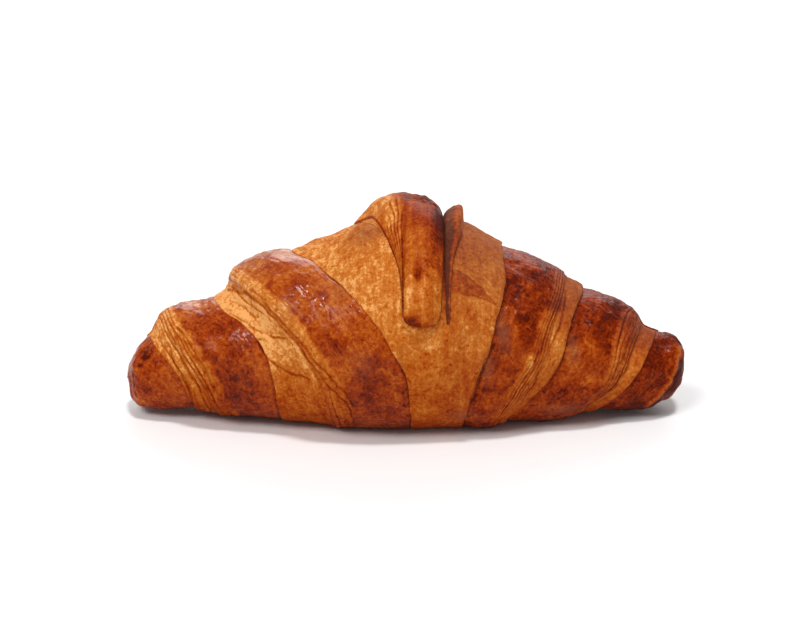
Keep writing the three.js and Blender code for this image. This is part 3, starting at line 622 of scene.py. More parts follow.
def rollSkin(x, turn):
    # the crust of the roll: points, and the masks that its material reads
    bake = bakingAndPaintedLight
    base = rollPoint(x, turn)
    normal = rollNormal(x, turn)
    looks, found = bandLooks(x, turn, base, leftBand)
    other, otherFound = bandLooks(x, turn, base, rightBand)
    useOther = otherFound & ((x > 4) | ~found)
    looks = {key: np.where(useOther, other[key], looks[key]) for key in looks}
    wrapped = turn % 1
    begun, ended = smoothStep(0.43, 0.49, wrapped), smoothStep(0.63, 0.69, wrapped)
    shown = 1 - crust["underFade"] * begun * (1 - ended)
    markHeight, tone, dullAndPaintedLight, matt, glossy, cuts = surfaceMarks(x, wrapped, base)
    lumps = noise(base, crust["lumpSpan"], 3)
    blisters = noise(base, crust["blisterSpan"], 4) + 0.5 * noise(base, crust["blisterSpan"] / 2, 5)
    fibre = np.stack([looks["across"], base[..., 1] / 5, base[..., 2] / 5], -1)
    wrinkles = noise(fibre, crust["wrinkleSpan"], 10)
    height = looks["height"] * shown + crust["lumpHeight"] * lumps + markHeight + swellingRise(x, wrapped)
    height += crust["blisterHeight"] * blisters * (0.4 + 0.6 * looks["glaze"])
    height += crust["wrinkleHeight"] * wrinkles + crust["grainHeight"] * noise(base, crust["grainSpan"], 6)
    wander = roll["wander"] * (noise(base, roll["wanderSpan"], 8) + 0.4 * noise(base, 3.5, 9))
    tipFade = smoothStep(0, roll["tipFade"], x - roll["leftEnd"])
    tipFade = tipFade * smoothStep(0, roll["tipFade"], roll["rightEnd"] - x)
    points = base + normal * height[..., None]
    points[..., 0] += (looks["over"] * shown + wander) * tipFade
    # painted shade darkens the lower half, partly deeper baking, and the right side; the tips bake darker
    fromTop = np.abs((wrapped + 0.5) % 1 - 0.5)
    low = smoothStep(*bake["lowFront"], wrapped) * smoothStep(*bake["lowBack"], wrapped)
    bare, onRight = 1 - looks["glaze"], smoothStep(*bake["rightFrom"], x)
    crest = smoothStep(*bake["crestTurns"], fromTop)
    upper = smoothStep(*bake["upperFront"], wrapped) + smoothStep(*bake["upperBack"], wrapped)
    tone += bake["lumps"] * lumps + bake["wrinkles"] * wrinkles * bare
    tone += (bake["low"] - bake["lowGlazed"] * looks["glaze"]) * low
    # painted sheen: the glazed crest on the left side is painted paler
    tone -= bake["crest"] * crest * looks["glaze"] * (1 - onRight)
    # painted light: the upper bare crust on the left side is painted paler
    onLeft = smoothStep(*bake["paintedLightLeftFrom"], x) * smoothStep(*bake["paintedLightLeftTurns"], fromTop)
    tone -= bake["paintedLightLeft"] * onLeft * bare
    nearTip = smoothStep(*bake["tipsFrom"], np.abs(x - bake["tipsMiddle"]))
    # the tips bake deeper; the right side, and its upper bare crust more, is painted darker and greyer as
    # painted shade
    tone += bake["tips"] * nearTip + bake["right"] * onRight
    tone += bake["upper"] * onRight * bare * upper + looks["baked"]
    dullAndPaintedLight += (bake["shadeGreyUpper"] * upper + bake["shadeGreyRight"]) * onRight * bare
    looks["lines"] = np.clip(looks["lines"] * shown, 0, 1)
    looks["glaze"] = looks["glaze"] * (1 - matt)
    glossCrest = (bake["glossCrest"] - bake["glossCrestRight"] * onRight) * crest
    looks["gloss"] = looks["glaze"] * (1 - bake["glossRight"] * onRight + glossCrest + glossy)
    looks["tone"] = tone
    looks["dullAndPaintedLight"] = np.clip(dullAndPaintedLight, 0, 1)
    looks.update(cuts)
    return settle(points), {key: looks[key] for key in maskNames}


def makePiece(name, points, masks, faces, material):
    # a mesh from whole arrays, in metres; each mask becomes an attribute that the material reads
    mesh = bpy.data.meshes.new(name)
    mesh.vertices.add(len(points))
    mesh.vertices.foreach_set("co", (points / 1000).astype(np.float32).ravel())
    loops = np.concatenate([f.ravel() for f in faces])
    sides = np.concatenate([np.full(len(f), f.shape[1]) for f in faces])
    mesh.loops.add(len(loops))
    mesh.loops.foreach_set("vertex_index", loops.astype(np.int32))
    mesh.polygons.add(len(sides))
    mesh.polygons.foreach_set("loop_start", np.concatenate([[0], np.cumsum(sides)[:-1]]).astype(np.int32))
    mesh.polygons.foreach_set("use_smooth", np.ones(len(sides), bool))
    for key, values in masks.items():
        layer = mesh.attributes.new(key, "FLOAT", "POINT")
        layer.data.foreach_set("value", values.astype(np.float32).ravel())
    mesh.update()
    mesh.validate()
    piece = bpy.data.objects.new(name, mesh)
    bpy.context.scene.collection.objects.link(piece)
    mesh.materials.append(material)
    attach(piece, "root")
    print(name, len(points), "points")
    return piece


def gridFaces(rows, columns):
    # quads between neighbouring rows, wound so that they face outwards; columns close on themselves
    i, j = np.meshgrid(np.arange(rows - 1), np.arange(columns), indexing="ij")
    a = i * columns + j
    b = i * columns + (j + 1) % columns
    return np.stack([a, b, b + columns, a + columns], -1).reshape(-1, 4)


def capFaces(first, columns, pole, flip):
    # a fan of triangles from one row of points to its pole
    j = np.arange(columns)
    a, b = first + j, first + (j + 1) % columns
    return np.stack([b, a, np.full(columns, pole)] if flip else [a, b, np.full(columns, pole)], -1)


def withPoles(masks):
    # each mask's values, then one more for either end
    return {key: np.concatenate([m.ravel(), [m[0].mean(), m[-1].mean()]]) for key, m in masks.items()}


def node(tree, kind, inputs=(), **settings):
    # one shader node; an input is either another node's socket or a value
    made = tree.nodes.new(kind)
    for key, value in settings.items():
        setattr(made, key, value)
    for key, value in dict(inputs).items():
        if isinstance(value, bpy.types.NodeSocket):
            tree.links.new(value, made.inputs[key])
        else:
            made.inputs[key].default_value = value
    return made


crustLook = {
    # colours from the palest crust to the deepest glaze, by how far it has browned
    "colours": [(0.0, (0.82, 0.38, 0.12)), (0.1, (0.67, 0.255, 0.058)), (0.18, (0.57, 0.175, 0.026)),
                (0.36, (0.46, 0.105, 0.009)), (0.52, (0.37, 0.058, 0.0035)), (0.68, (0.28, 0.031, 0.0018)),
                (0.84, (0.175, 0.015, 0.0012)), (1.0, (0.080, 0.0065, 0.001))],
    "paleRoughness": 0.6,
    "glazeRoughness": 0.36,
    "specular": 0.03,
    "coat": 0.1,
    "coatRoughness": 0.12,
    "sheen": 0.02,
    "sheenRoughness": 0.3,
    "sheenTint": (1.0, 0.8, 0.7),
    # grey that the dull mask mixes in: dull crust, and also painted sheen and painted shade
    "dullAndPaintedLightColour": (0.21, 0.09, 0.05),
    "dullShare": 0.6,
    # spans in millimetres and how far each pattern moves the tone
    "patchSpan": 7.0, "patchTone": 0.19,
    "veinSpan": 5.0, "veinTone": -0.12,
    "mottleSpan": 2.4, "mottleTone": 0.28,
    "grainSpan": 0.8, "grainTone": 0.4,
    "streakSpan": 1.0, "streakTone": 0.22,
    "speckSpan": 1.5, "speckTone": 0.22,
    "lineTone": 0.4, "ridgeHighlightTone": -0.16,
    "lineWidth": 0.34,
    "cutTone": 0.34, "cutWidth": 0.42,
    "veinWidth": 0.045,
    "bareShare": 0.35,         # how much of the patches shows on bare crust
    "fibreStretch": 0.14,      # the fibres' length against their width
    "grainRoughness": 0.12,
    # relief in millimetres, read by the two bumps
    "reliefSpan": 0.9, "relief": 0.16,
    "veinRelief": 0.04, "streakRelief": 0.08, "lineRelief": -0.2, "cutRelief": -0.3,
    "swellSpan": 1.8, "swellRelief": 0.34,
    "rippleSpan": 1.4, "rippleRelief": 0.08,
    "bumpStrength": 0.8,
}
millimetre = 0.001


def crustMaterial():
    # patterns and masks, among them painted shade, sheen and highlights, add up to how far the crust has
    # browned, and a ramp gives that its colour
    look = crustLook
    material = bpy.data.materials.new("bakedCrust")
    material.use_nodes = True
    tree = material.node_tree
    tree.nodes.clear()

    def mask(name):
        return node(tree, "ShaderNodeAttribute", attribute_name=name).outputs["Fac"]

    def maths(operation, a, b=0.0, c=0.0):
        return node(tree, "ShaderNodeMath", {0: a, 1: b, 2: c}, operation=operation).outputs[0]

    def cloud(vector, span, detail=3.0, roughness=0.55, distortion=0.0):
        settings = {"Vector": vector, "Scale": 1 / (span * millimetre), "Detail": detail,
                    "Roughness": roughness, "Distortion": distortion}
        return node(tree, "ShaderNodeTexNoise", settings).outputs["Fac"]

    def fit(value, low, high, start, end):
        settings = {"Value": value, "From Min": low, "From Max": high, "To Min": start, "To Max": end}
        return node(tree, "ShaderNodeMapRange", settings).outputs[0]

    def about(value):
        # a cloud lies mostly between a quarter and three quarters; here about nought
        return fit(value, 0.25, 0.75, -0.5, 0.5)

    place = node(tree, "ShaderNodeTexCoord").outputs["Object"]
    parts = node(tree, "ShaderNodeSeparateXYZ", {0: place}).outputs
    glaze, lines, tone, flaky = mask("glaze"), mask("lines"), mask("tone"), mask("flaky")
    # a pattern drawn out along the strip: fine across it, long round the roll
    course = {0: maths("MULTIPLY", mask("across"), millimetre),
              1: maths("MULTIPLY", parts[1], look["fibreStretch"]),
              2: maths("MULTIPLY", parts[2], look["fibreStretch"])}
    fibre = node(tree, "ShaderNodeCombineXYZ", course).outputs[0]
    patch = fit(cloud(place, look["patchSpan"], 3, 0.6, 0.4), 0.3, 0.7, -1, 1)
    winding = maths("ABSOLUTE", maths("SUBTRACT", cloud(place, look["veinSpan"], 2, 0.5, 0.9), 0.5))
    vein = fit(winding, 0.0, look["veinWidth"], 1, 0)
    mottle = about(cloud(place, look["mottleSpan"], 2, 0.5, 0.8))
    grain = about(cloud(place, look["grainSpan"], 3, 0.7))
    streak = about(cloud(fibre, look["streakSpan"], 3, 0.6))
    speck = fit(cloud(place, look["speckSpan"], 1, 0.5), 0.66, 0.74, 0, 1)
    # distance from the nearest layer line, in millimetres, and the rising side of each layer, painted paler
    # as a painted highlight
    layers = mask("layers")
    away = maths("SUBTRACT", layers, maths("ROUND", layers))
    away = maths("MULTIPLY", maths("ABSOLUTE", away), mask("gap"))
    wide = maths("MULTIPLY_ADD", flaky, 0.8 * look["lineWidth"], 0.3 * look["lineWidth"])
    line = fit(maths("DIVIDE", away, wide), 0.2, 1, 1, 0)
    line = maths("MULTIPLY", line, flaky)
    part = maths("FRACT", layers)
    ridge = maths("MULTIPLY", fit(part, 0.1, 0.3, 0, 1), fit(part, 0.35, 0.75, 1, 0))
    ridge = maths("MULTIPLY", ridge, flaky)
    # cracks, drawn by their signed distance in millimetres
    cut = 0.0
    for group, dark in (("cutA", "darkA"), ("cutB", "darkB")):
        near = fit(maths("ABSOLUTE", mask(group)), 0.1, look["cutWidth"], 1, 0)
        cut = maths("MULTIPLY_ADD", near, mask(dark), cut)

    depth = maths("MULTIPLY_ADD", glaze, crust["glazed"], crust["pale"])
    depth = maths("ADD", depth, tone)
    share = fit(glaze, 0, 1, look["bareShare"], 1)
    depth = maths("MULTIPLY_ADD", maths("MULTIPLY", patch, share), look["patchTone"], depth)
    depth = maths("MULTIPLY_ADD", maths("MULTIPLY", vein, glaze), look["veinTone"], depth)
    # the lines mask is mostly painted shade: dark lines in creases, under lips and at steps
    for pattern, amount in ((mottle, "mottleTone"), (grain, "grainTone"), (streak, "streakTone"),
                            (speck, "speckTone"), (line, "lineTone"), (ridge, "ridgeHighlightTone"),
                            (lines, "lineTone"), (cut, "cutTone")):
        depth = maths("MULTIPLY_ADD", pattern, look[amount], depth)
    ramp = node(tree, "ShaderNodeValToRGB", {"Fac": depth})
    stops = ramp.color_ramp.elements
    for i, (at, colour) in enumerate(look["colours"]):
        stop = stops[i] if i < 2 else stops.new(at)
        stop.position = at
        stop.color = (*colour, 1)
    # the grey mix: real dullness, and painted sheen and painted shade
    dullAndPaintedLightShare = maths("MULTIPLY", mask("dullAndPaintedLight"), look["dullShare"])
    dullAndPaintedLightMix = node(tree, "ShaderNodeMix", {0: dullAndPaintedLightShare}, data_type="RGBA")
    tree.links.new(ramp.outputs["Color"], dullAndPaintedLightMix.inputs[6])
    dullAndPaintedLightMix.inputs[7].default_value = (*look["dullAndPaintedLightColour"], 1)
    rough = fit(glaze, 0, 1, look["paleRoughness"], look["glazeRoughness"])
    rough = maths("MULTIPLY_ADD", grain, look["grainRoughness"], rough)
    # relief in millimetres: grain, blisters along the veins, sunk lines
    relief = maths("MULTIPLY", cloud(place, look["reliefSpan"], 3, 0.6), look["relief"])
    for pattern, amount in ((vein, "veinRelief"), (streak, "streakRelief"), (line, "lineRelief"),
                            (cut, "cutRelief")):
        relief = maths("MULTIPLY_ADD", pattern, look[amount], relief)
    bumps = {"Strength": look["bumpStrength"], "Distance": millimetre}
    bump = node(tree, "ShaderNodeBump", {"Height": relief, **bumps})
    # the glaze lies over the finest grain, so its own bump is gentler
    swell = maths("MULTIPLY", cloud(fibre, look["swellSpan"], 2, 0.5), look["swellRelief"])
    ripples = maths("MULTIPLY_ADD", cloud(place, look["rippleSpan"], 2, 0.6), look["rippleRelief"], swell)
    ripple = node(tree, "ShaderNodeBump", {"Height": ripples, **bumps})
    coat = maths("MULTIPLY", mask("gloss"), look["coat"])
    shader = node(tree, "ShaderNodeBsdfPrincipled", {
        "Base Color": dullAndPaintedLightMix.outputs[2], "Roughness": rough, "Normal": bump.outputs[0],
        "Specular IOR Level": look["specular"], "Coat Weight": coat,
        "Coat Roughness": look["coatRoughness"], "Coat Normal": ripple.outputs[0],
        "Sheen Weight": look["sheen"], "Sheen Roughness": look["sheenRoughness"],
        "Sheen Tint": (*look["sheenTint"], 1)})
    out = node(tree, "ShaderNodeOutputMaterial")
    tree.links.new(shader.outputs[0], out.inputs[0])
    return material


bakedCrust = crustMaterial()
print("crust material made")

arms = {"rings": 190, "spokes": 480, "tuck": 3.0, "tuckGap": 0.1}
middle = {"rings": 182, "spokes": 520, "tuck": 3.0, "rimGap": 0.02}
edgeTops = {side: [float(smoothCurve(k, edge)) for k in (0, 1, 2)] for side, edge in
            (("left", leftEdge), ("right", rightEdge))}


def makeArm(name, start, end, edges):
    # rings from the tip to the middle length's edge, then one tucked ring under it; both ends closed by fans
    left = start == roll["leftEnd"]
    places = ringPlaces(start, end, arms["rings"], edges)
    inner = end if left else start
    gap = arms["tuckGap"]
    places = np.append(places, inner - gap) if left else np.insert(places, 0, inner + gap)
    x, turn = ringGrid(places, arms["spokes"])
    points, masks = rollSkin(x, turn)
    tuckRow = -1 if left else 0
    tucked = rollPoint(x[tuckRow], turn[tuckRow]) - rollNormal(x[tuckRow], turn[tuckRow]) * arms["tuck"]
    tucked[:, 0] += arms["tuck"] * (1 if left else -1)
    tucked = settle(tucked)[None]
    grid = np.concatenate([points, tucked] if left else [tucked, points])
    masks = {key: np.concatenate([m, m[-1:]] if left else [m[:1], m]) for key, m in masks.items()}
    rows, columns = grid.shape[:2]
    tip = np.array([roll["leftEnd"] if left else roll["rightEnd"], 0, 0.0])
    tip[2] = (smoothCurve(tip[0], roll["crown"]) + smoothCurve(tip[0], roll["under"])) / 2
    tip[1] = roll["setBack"]
    heart = grid[-1 if left else 0].mean(0)
    poles = [tip, heart] if left else [heart, tip]
    every = np.concatenate([grid.reshape(-1, 3), poles])
    faces = [gridFaces(rows, columns), capFaces(0, columns, rows * columns, True),
             capFaces((rows - 1) * columns, columns, rows * columns + 1, False)]
    return makePiece(name, every, withPoles(masks), faces, bakedCrust)


def makeMiddle(name, start, end):
    # rings between the two innermost edges, closed into a ring by tucked rows that meet inside
    places = ringPlaces(start, end, middle["rings"], [])
    places = np.concatenate([[start + middle["rimGap"]], places, [end - middle["rimGap"]]])
    x, turn = ringGrid(places, middle["spokes"])
    points, masks = rollSkin(x, turn)
    rims = [settle(rollPoint(x[k], turn[k]) - rollNormal(x[k], turn[k]) * middle["tuck"])
            for k in (0, -1)]
    grid = np.concatenate([rims[0][None], points, rims[1][None]])
    masks = {key: np.concatenate([m[:1], m, m[-1:]]).ravel() for key, m in masks.items()}
    rows, columns = grid.shape[:2]
    j = np.arange(columns)
    k = (j + 1) % columns
    lastRow = (rows - 1) * columns
    inside = np.stack([lastRow + j, lastRow + k, k, j], -1)
    return makePiece(name, grid.reshape(-1, 3), masks, [gridFaces(rows, columns), inside], bakedCrust)


leftArm = makeArm("leftArm", roll["leftEnd"], edgeTops["left"][2], edgeTops["left"][:2])
rightArm = makeArm("rightArm", edgeTops["right"][2], roll["rightEnd"], edgeTops["right"][:2])
middleLength = makeMiddle("middleLength", edgeTops["left"][2], edgeTops["right"][2])

tongue = {
    "left": [(2.5, -5), (2.6, -11), (2.75, -14.8), (2.9, -15), (2.945, -14.7), (2.965, -13), (2.975, -11.1),
             (2.99, -9.6), (3.022, -7.6), (3.058, -5.8), (3.086, -4.4), (3.117, -2.7), (3.143, -1.7),
             (3.175, -1.1), (3.195, -0.9), (3.203, -0.5), (3.208, 0.5), (3.211, 2.4), (3.212, 4)],
    "right": [(2.5, 13.5), (2.6, 13), (2.75, 12), (2.9, 11), (3, 10.7), (3.1, 10.4), (3.163, 9.9),
              (3.19, 9.6), (3.2, 9.1), (3.206, 8.3), (3.21, 6.8), (3.212, 5)],
    "thickness": [(2.5, 0.2), (2.58, 2.2), (2.7, 4.2), (2.85, 5.2), (2.95, 5.9), (3.05, 5.2), (3.12, 4.4),
                  (3.17, 3.9), (3.195, 3.4), (3.206, 2.6), (3.212, 1.2)],
    # height across it: round over the top, then a thin fan on the left beside the thick flute
    "topSection": [(-1, 0), (-0.985, 0.11), (-0.95, 0.15), (-0.85, 0.27), (-0.7, 0.5), (-0.5, 0.78),
                   (-0.3, 0.94), (0, 1), (0.3, 0.95), (0.6, 0.84), (0.8, 0.62), (0.93, 0.32), (1, 0)],
    "fanHeight": [(0, 0), (0.08, 0.12), (0.3, 0.24), (0.7, 0.44), (1, 0.6)],
    "fluteSection": [(-1, 0), (-0.97, 0.3), (-0.8, 0.72), (-0.5, 0.95), (0, 1), (0.4, 0.9), (0.7, 0.68),
                     (0.9, 0.4), (1, 0)],
    "fluteStart": -0.9,        # x where the flute rises from the fan
    "fanLines": 5,
    "foot": 3.0,
    "stations": 420,
    "across": 76,
    "footAcross": 12,
    "flutes": 0.32,
    "gather": 1.15,
    "lumps": 0.3, "creases": 0.9, "fanRelief": 0.3,
    "aheadTurns": (0.0, 0.07),     # here the round top gives way to the fan and the flute
    "fanWidths": (0.4, 2.5),       # mm of fan beside the flute: none, and the whole of it
    "fluteRise": 0.12, "fluteFoot": 0.62,
    "fanPower": 1.15, "fanFrom": 0.4, "fanFromDrop": 0.28,
    "glaze": 0.5, "glazeFlow": 0.2, "glazeSide": 0.25, "glazeFan": 0.3, "glazeEnd": 0.35,
    "gloss": 0.8,
    # how deep it has baked: the whole, its streaks, lumps and wrinkles, then place by place; the right rim is
    # painted darker as painted shade
    "tone": 0.03, "toneFlow": 0.08, "toneLumps": 0.05, "toneCreases": 0.8, "paintedShadeRight": 0.3,
    "toneUpper": 0.21, "toneLower": -0.06, "toneEnd": 0.3, "toneLeft": 0.1, "toneFan": 0.2,
    "grooveLine": 0.5, "grooveWide": 0.35, "leftShadowLine": 0.7, "flaky": 0.8,
}
# what marks the tongue, as (x, turn past 3): the pit, darker at its top and paler at its foot as painted
# shade and light, the burnt tip, wrinkles on top, greyed as a painted reflection, and the redder right side,
# partly painted shade
tongueMarks = {
    "pit": {"x": 3.0, "turn": 0.15, "wide": 1.2, "round": 3.2, "sink": 1.3},
    "pitTopShade": {"x": 3.0, "turn": 0.144, "wide": 1.1, "round": 2.2, "tone": 0.36},
    "pitFootLight": {"x": 3.5, "turn": 0.166, "wide": 1.6, "round": 2.2, "tone": -0.12},
    "burnt": {"x": 1.3, "turn": 0.2035, "wide": 2.5, "round": 1.3, "tone": 0.75, "sink": 0.3, "dullAndPaintedLight": 0.1},
    "crown": {"x": 5.4, "turn": -0.016, "wide": 4.6, "round": 4.8, "tone": 0.2},
    "side": {"x": 8.8, "turn": 0.06, "wide": 2.2, "round": 15, "tone": 0.42},
}
fold = {
    "left": [(-0.16, 11), (-0.05, 10.4), (0, 10.4), (0.08, 10.6), (0.15, 10.7), (0.205, 11)],
    "right": [(-0.16, 14.6), (-0.1, 17), (-0.05, 17.6), (0, 17.2), (0.03, 16.2), (0.06, 14.9), (0.083, 14.1),
              (0.114, 13), (0.149, 12.4), (0.19, 12), (0.205, 11.8)],
    "thickness": [(-0.16, 0.2), (-0.1, 2.6), (-0.045, 4.9), (0, 4.2), (0.05, 2.4), (0.1, 1.3), (0.15, 0.8),
                  (0.19, 0.5), (0.205, 0.15)],
    "topSection": [(-1, -0.2), (-0.85, 0.3), (-0.58, 0.66), (-0.3, 0.88), (0, 1), (0.18, 0.92), (0.35, 0.64),
                   (0.5, 0.36), (0.7, 0.12), (0.85, 0.04), (1, 0)],
    "section": [(-1, 0), (-0.9, 0.16), (-0.5, 0.42), (-0.1, 0.72), (0.3, 1), (0.6, 0.98), (0.85, 0.6),
                (1, 0)],
    "foot": 2.0,
    "stations": 200,
    "across": 46,
    "footAcross": 12,
    "gather": 1.15,
    "aheadTurns": (0.01, 0.07),    # here its standing top gives way to the thin front
    "grooveTurns": (0.02, 0.08),
    "roughness": 0.25, "glaze": 0.12,
    # tones: the whole, the left face, their roughness, the front, and the groove beside the tongue; the left
    # face and the groove are painted darker, and the left face greyer, as painted shade
    "tone": 0.2, "toneLeft": 0.44, "toneRough": 0.14, "toneRoughLeft": 0.24, "toneAhead": 0.16,
    "shadeGroove": 0.35,
    "dullAndPaintedLight": 0.3, "shadeGreyLeft": 0.5, "shadeGreyRough": 0.4, "shadeGreyGroove": 0.8,
    "edgeLine": 0.5, "edgeAt": 0.75, "edgeWide": 0.2,
}


def makeStrip(name, strip, looks):
    # a section carried round the roll: the looks give its height above the roll, and a foot is sunk below;
    # stations draw together towards the rounded end
    start, end = strip["left"][0][0], strip["left"][-1][0]
    s = np.linspace(0, 1, strip["stations"])
    turn = start + (end - start) * np.sin(np.pi / 2 * s) ** strip["gather"]
    upper = np.linspace(-1, 1, strip["across"])
    lower = np.linspace(1, -1, strip["footAcross"])
    onTop = np.concatenate([np.ones(len(upper), bool), np.zeros(len(lower), bool)])
    turn, out = np.meshgrid(turn, np.concatenate([upper, lower]), indexing="ij")
    across = np.sin(out * np.pi / 2)
    a, b = smoothCurve(turn, strip["left"]), smoothCurve(turn, strip["right"])
    x = (a + b) / 2 + (b - a) / 2 * across
    base = rollPoint(x, turn)
    thick = smoothCurve(turn, strip["thickness"])
    height, masks = looks(x, turn, across, thick, base, strip)
    height = np.where(onTop, height + swellingRise(x, turn), -strip["foot"])
    points = settle(base + rollNormal(x, turn) * height[..., None])
    rows, columns = points.shape[:2]
    every = np.concatenate([points.reshape(-1, 3), [points[0].mean(0), points[-1].mean(0)]])
    faces = [gridFaces(rows, columns)[:, ::-1], capFaces(0, columns, rows * columns, False),
             capFaces((rows - 1) * columns, columns, rows * columns + 1, True)]
    return makePiece(name, every, withPoles(masks), faces, bakedCrust)


def ovalShare(x, turn, spot):
    # 1 in the middle of an oval spot, falling off by e^-(r^2)
    side = (x - spot["x"]) / spot["wide"]
    up = (turn - spot["turn"]) * girth(np.array(spot["x"])) / spot["round"]
    return np.exp(-side ** 2 - up ** 2)


def noCuts(x):
    # a piece without cracks still has their masks
    zero = np.zeros(x.shape)
    return {"cutA": zero + noCut, "cutB": zero + noCut, "darkA": zero, "darkB": zero}


def tongueLooks(x, turn, across, thick, base, strip):
    # height and masks of the tongue: thickness times its section, which is round over the top and then a thin
    # fan beside a thick flute, plus ridges, wrinkles, the pit and the burnt end
    past = turn - 3
    left, right = smoothCurve(turn, strip["left"]), smoothCurve(turn, strip["right"])
    start = np.maximum(strip["fluteStart"], left)
    inFlute = (x - start) / np.maximum(right - start, 0.1)
    inFan = np.clip((x - left) / np.maximum(start - left, 0.1), 0, 1)
    onFan = inFlute < 0.02
    fan = smoothCurve(inFan, strip["fanHeight"])
    rise = smoothStep(0.0, strip["fluteRise"], inFlute)
    flute = smoothCurve(np.clip(2 * inFlute - 1, -1, 1), strip["fluteSection"])
    hasFan = smoothStep(*strip["fanWidths"], start - left)
    fluteFoot = hasFan * strip["fluteFoot"] * (1 - rise) * (inFlute < 0.5)
    front = np.where(inFlute > 0, np.maximum(flute, fluteFoot), fan)
    top = smoothCurve(across, strip["topSection"])
    ahead = smoothStep(*strip["aheadTurns"], past)
    shape = top * (1 - ahead) + front * ahead
    # ridges fan out from the top left and draw together beside the flute
    layers = inFan ** strip["fanPower"] * strip["fanLines"] + 0.5 * noise(base, 6.0, 61)
    bareTo = strip["fanFrom"] - strip["fanFromDrop"] * smoothStep(0.0, 0.06, past)
    fanned = hasFan * onFan * smoothStep(-0.05, 0.0, past) * smoothStep(0, 0.15, inFan - bareTo)
    fanned = fanned * np.clip(0.75 + 0.7 * noise(base, 3.5, 62), 0.1, 1)
    part = layers - np.floor(layers)
    fibre = np.stack([x, base[..., 1] / 7, base[..., 2] / 7], -1)
    flow = noise(fibre, 2.2, 21) + 0.5 * noise(fibre, 1.1, 22)
    lumps, wrinkles = noise(base, 6.0, 23), noise(base, 1.8, 24)
    marks = {name: ovalShare(x, past, spot) for name, spot in tongueMarks.items()}
    creases = marks["crown"] * np.clip(wrinkles + 0.7 * noise(base, 1.0, 25), -0.5, 1)
    rim = np.sqrt(np.clip(1 - across ** 2, 0, 1))
    height = thick * shape
    height += rim * (strip["flutes"] * flow + strip["lumps"] * lumps - strip["creases"] * creases)
    height += strip["fanRelief"] * fanned * smoothStep(0, 0.35, part) * (1 - 0.5 * part)
    height -= tongueMarks["pit"]["sink"] * marks["pit"] ** 1.5 + tongueMarks["burnt"]["sink"] * marks["burnt"]
    glaze = strip["glaze"] + strip["glazeFlow"] * flow + strip["glazeSide"] * marks["side"]
    glaze = glaze - strip["glazeFan"] * fanned - strip["glazeEnd"] * smoothStep(0.1, 0.2, past)
    glaze = np.clip(glaze, 0, 1)
    tone = strip["tone"] + strip["toneFlow"] * flow + strip["toneLumps"] * lumps
    # painted shade: the right rim is painted darker
    tone += strip["toneCreases"] * creases + strip["paintedShadeRight"] * smoothStep(0.88, 1, across)
    tone += strip["toneLeft"] * smoothStep(-0.93, -1, across)
    tone += strip["toneUpper"] * smoothStep(0.12, 0.04, past) * smoothStep(-4, 1, x)
    tone += strip["toneLower"] * smoothStep(0.13, 0.17, past)
    tone += strip["toneEnd"] * smoothStep(0.204, 0.2095, past)
    # the pit's upper wall is painted darker and its foot paler as painted shade and light; the side is partly
    # painted shade
    for name in ("pitTopShade", "pitFootLight", "burnt", "crown", "side"):
        tone += tongueMarks[name]["tone"] * marks[name]
    # the fan's upper left is bare pale crust
    tone -= strip["toneFan"] * hasFan * smoothStep(0.95, 0.6, inFan) * onFan * smoothStep(0.07, 0.02, past)
    grooveLine = smoothStep(strip["grooveWide"], 0, np.abs(x - start)) * hasFan * smoothStep(0.02, 0.06, past)
    # a painted shadow line along the tongue's left edge
    leftShadowLine = smoothStep(-0.93, -0.99, across) * smoothStep(0.2, 0.16, past)
    lines = strip["grooveLine"] * grooveLine + strip["leftShadowLine"] * leftShadowLine
    # the crown is greyed as a painted reflection of the sky, and the burnt end is dull
    dullAndPaintedLight = marks["crown"] * (0.45 + 0.6 * wrinkles) + tongueMarks["burnt"]["dullAndPaintedLight"] * marks["burnt"]
    dullAndPaintedLight = np.clip(dullAndPaintedLight, 0, 1)
    masks = {"glaze": glaze, "gloss": strip["gloss"] * glaze, "lines": np.clip(lines, 0, 1), "tone": tone,
             "flaky": strip["flaky"] * fanned, "layers": layers,
             "gap": np.maximum(start - left, 0.5) / strip["fanLines"], "across": x + 80, "dullAndPaintedLight": dullAndPaintedLight,
             **noCuts(x)}
    return height, masks


def foldLooks(x, turn, across, thick, base, strip):
    # height and masks of the thin fold: thickness times its section, standing at the top and thin in front,
    # with a rough left face painted dark and grey as painted shade
    rough = noise(base, 0.9, 31) + 0.7 * noise(base, 2.0, 32)
    rim = np.sqrt(np.clip(1 - across ** 2, 0, 1))
    ahead = smoothStep(*strip["aheadTurns"], turn)
    shape = smoothCurve(across, strip["topSection"]) * (1 - ahead)
    shape = shape + smoothCurve(across, strip["section"]) * ahead
    height = thick * shape + strip["roughness"] * rim * rough
    leftFace = smoothStep(0.3, -0.3, across + 0.3 * (1 - ahead))
    inGroove = leftFace * smoothStep(*strip["grooveTurns"], turn)
    # painted shade: the left face and the groove beside the tongue are painted darker, and the left face
    # greyer
    tone = strip["tone"] + strip["toneLeft"] * leftFace
    tone += (strip["toneRough"] + strip["toneRoughLeft"] * leftFace) * rough
    tone += strip["toneAhead"] * ahead + strip["shadeGroove"] * inGroove
    edge = strip["edgeLine"] * ahead * np.exp(-((across - strip["edgeAt"]) / strip["edgeWide"]) ** 2)
    dullAndPaintedLight = leftFace * (strip["shadeGreyLeft"] - strip["shadeGreyRough"] * rough) * (1 - strip["shadeGreyGroove"] * inGroove)
    zero = np.zeros(turn.shape)
    masks = {"glaze": zero + strip["glaze"], "gloss": zero, "lines": edge, "tone": tone, "flaky": zero,
             "layers": zero, "gap": zero + 1, "across": x + 120,
             "dullAndPaintedLight": np.clip(strip["dullAndPaintedLight"] + dullAndPaintedLight, 0, 1), **noCuts(x)}
    return height, masks


tonguePiece = makeStrip("tongue", tongue, tongueLooks)
foldPiece = makeStrip("foldBeside", fold, foldLooks)
for piece in (leftArm, rightArm, middleLength, tonguePiece, foldPiece):
    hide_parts("croissant")
print("crust pieces made")

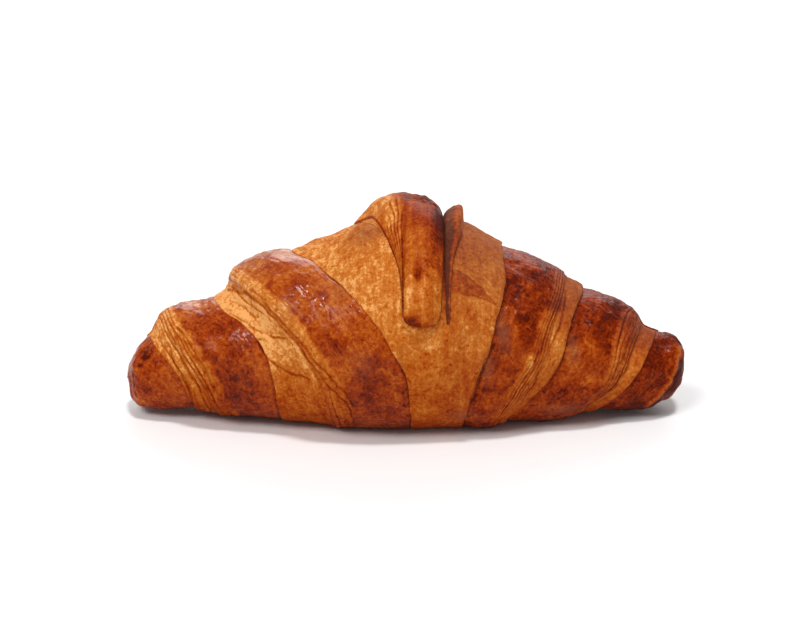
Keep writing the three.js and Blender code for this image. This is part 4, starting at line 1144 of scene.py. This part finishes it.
studio = {
    "aim": (-1.6, -1.7, 29.0),
    "distance": 542.0,
    "elevation": 18.0,
    "lens": 85,
    "floor": (0.93, 0.93, 0.93),
    "floorHalf": 5.0,          # metres
    "floorRoughness": 0.9,
    "world": 0.32,
    # soft suns: height above the horizon, bearing from the front towards the left, both in degrees, how wide
    # the source looks, and its strength
    "suns": [("keyLight", 48.0, 38.0, 24.0, 1.3), ("glint", 78.0, -28.0, 9.0, 1.5),
             ("backLight", 30.0, 184.0, 44.0, 1.0)],
}


def makeStudio():
    # a pale floor, a soft sky, three suns and the camera
    mesh = bpy.data.meshes.new("floor")
    half = studio["floorHalf"]
    corners = [(-half, -half, 0), (half, -half, 0), (half, half, 0), (-half, half, 0)]
    mesh.from_pydata(corners, [], [(0, 1, 2, 3)])
    floor = bpy.data.objects.new("floor", mesh)
    bpy.context.scene.collection.objects.link(floor)
    material = bpy.data.materials.new("paleFloor")
    material.use_nodes = True
    shader = material.node_tree.nodes["Principled BSDF"]
    shader.inputs["Base Color"].default_value = (*studio["floor"], 1)
    shader.inputs["Roughness"].default_value = studio["floorRoughness"]
    mesh.materials.append(material)
    world = bpy.data.worlds.new("softWorld")
    world.use_nodes = True
    sky = world.node_tree.nodes["Background"]
    sky.inputs["Strength"].default_value = studio["world"]
    sky.inputs["Color"].default_value = (1, 1, 1, 1)
    bpy.context.scene.world = world
    aim = np.array(studio["aim"]) / 1000
    for name, height, bearing, width, strength in studio["suns"]:
        lamp = bpy.data.lights.new(name, "SUN")
        lamp.angle = math.radians(width)
        lamp.energy = strength
        light = bpy.data.objects.new(name, lamp)
        light.rotation_euler = (math.radians(90 - height), 0, -math.radians(bearing))
        light.location = aim + np.array([0, 0, 1.0])
        bpy.context.scene.collection.objects.link(light)
    lens = bpy.data.cameras.new("camera")
    lens.lens = studio["lens"]
    camera = bpy.data.objects.new("camera", lens)
    rise = math.radians(studio["elevation"])
    camera.location = aim + studio["distance"] / 1000 * np.array([0, -math.cos(rise), math.sin(rise)])
    camera.rotation_euler = (math.pi / 2 - rise, 0, 0)
    bpy.context.scene.collection.objects.link(camera)
    bpy.context.scene.camera = camera
    bpy.context.scene.view_settings.view_transform = "Standard"


makeStudio()
print("studio made")
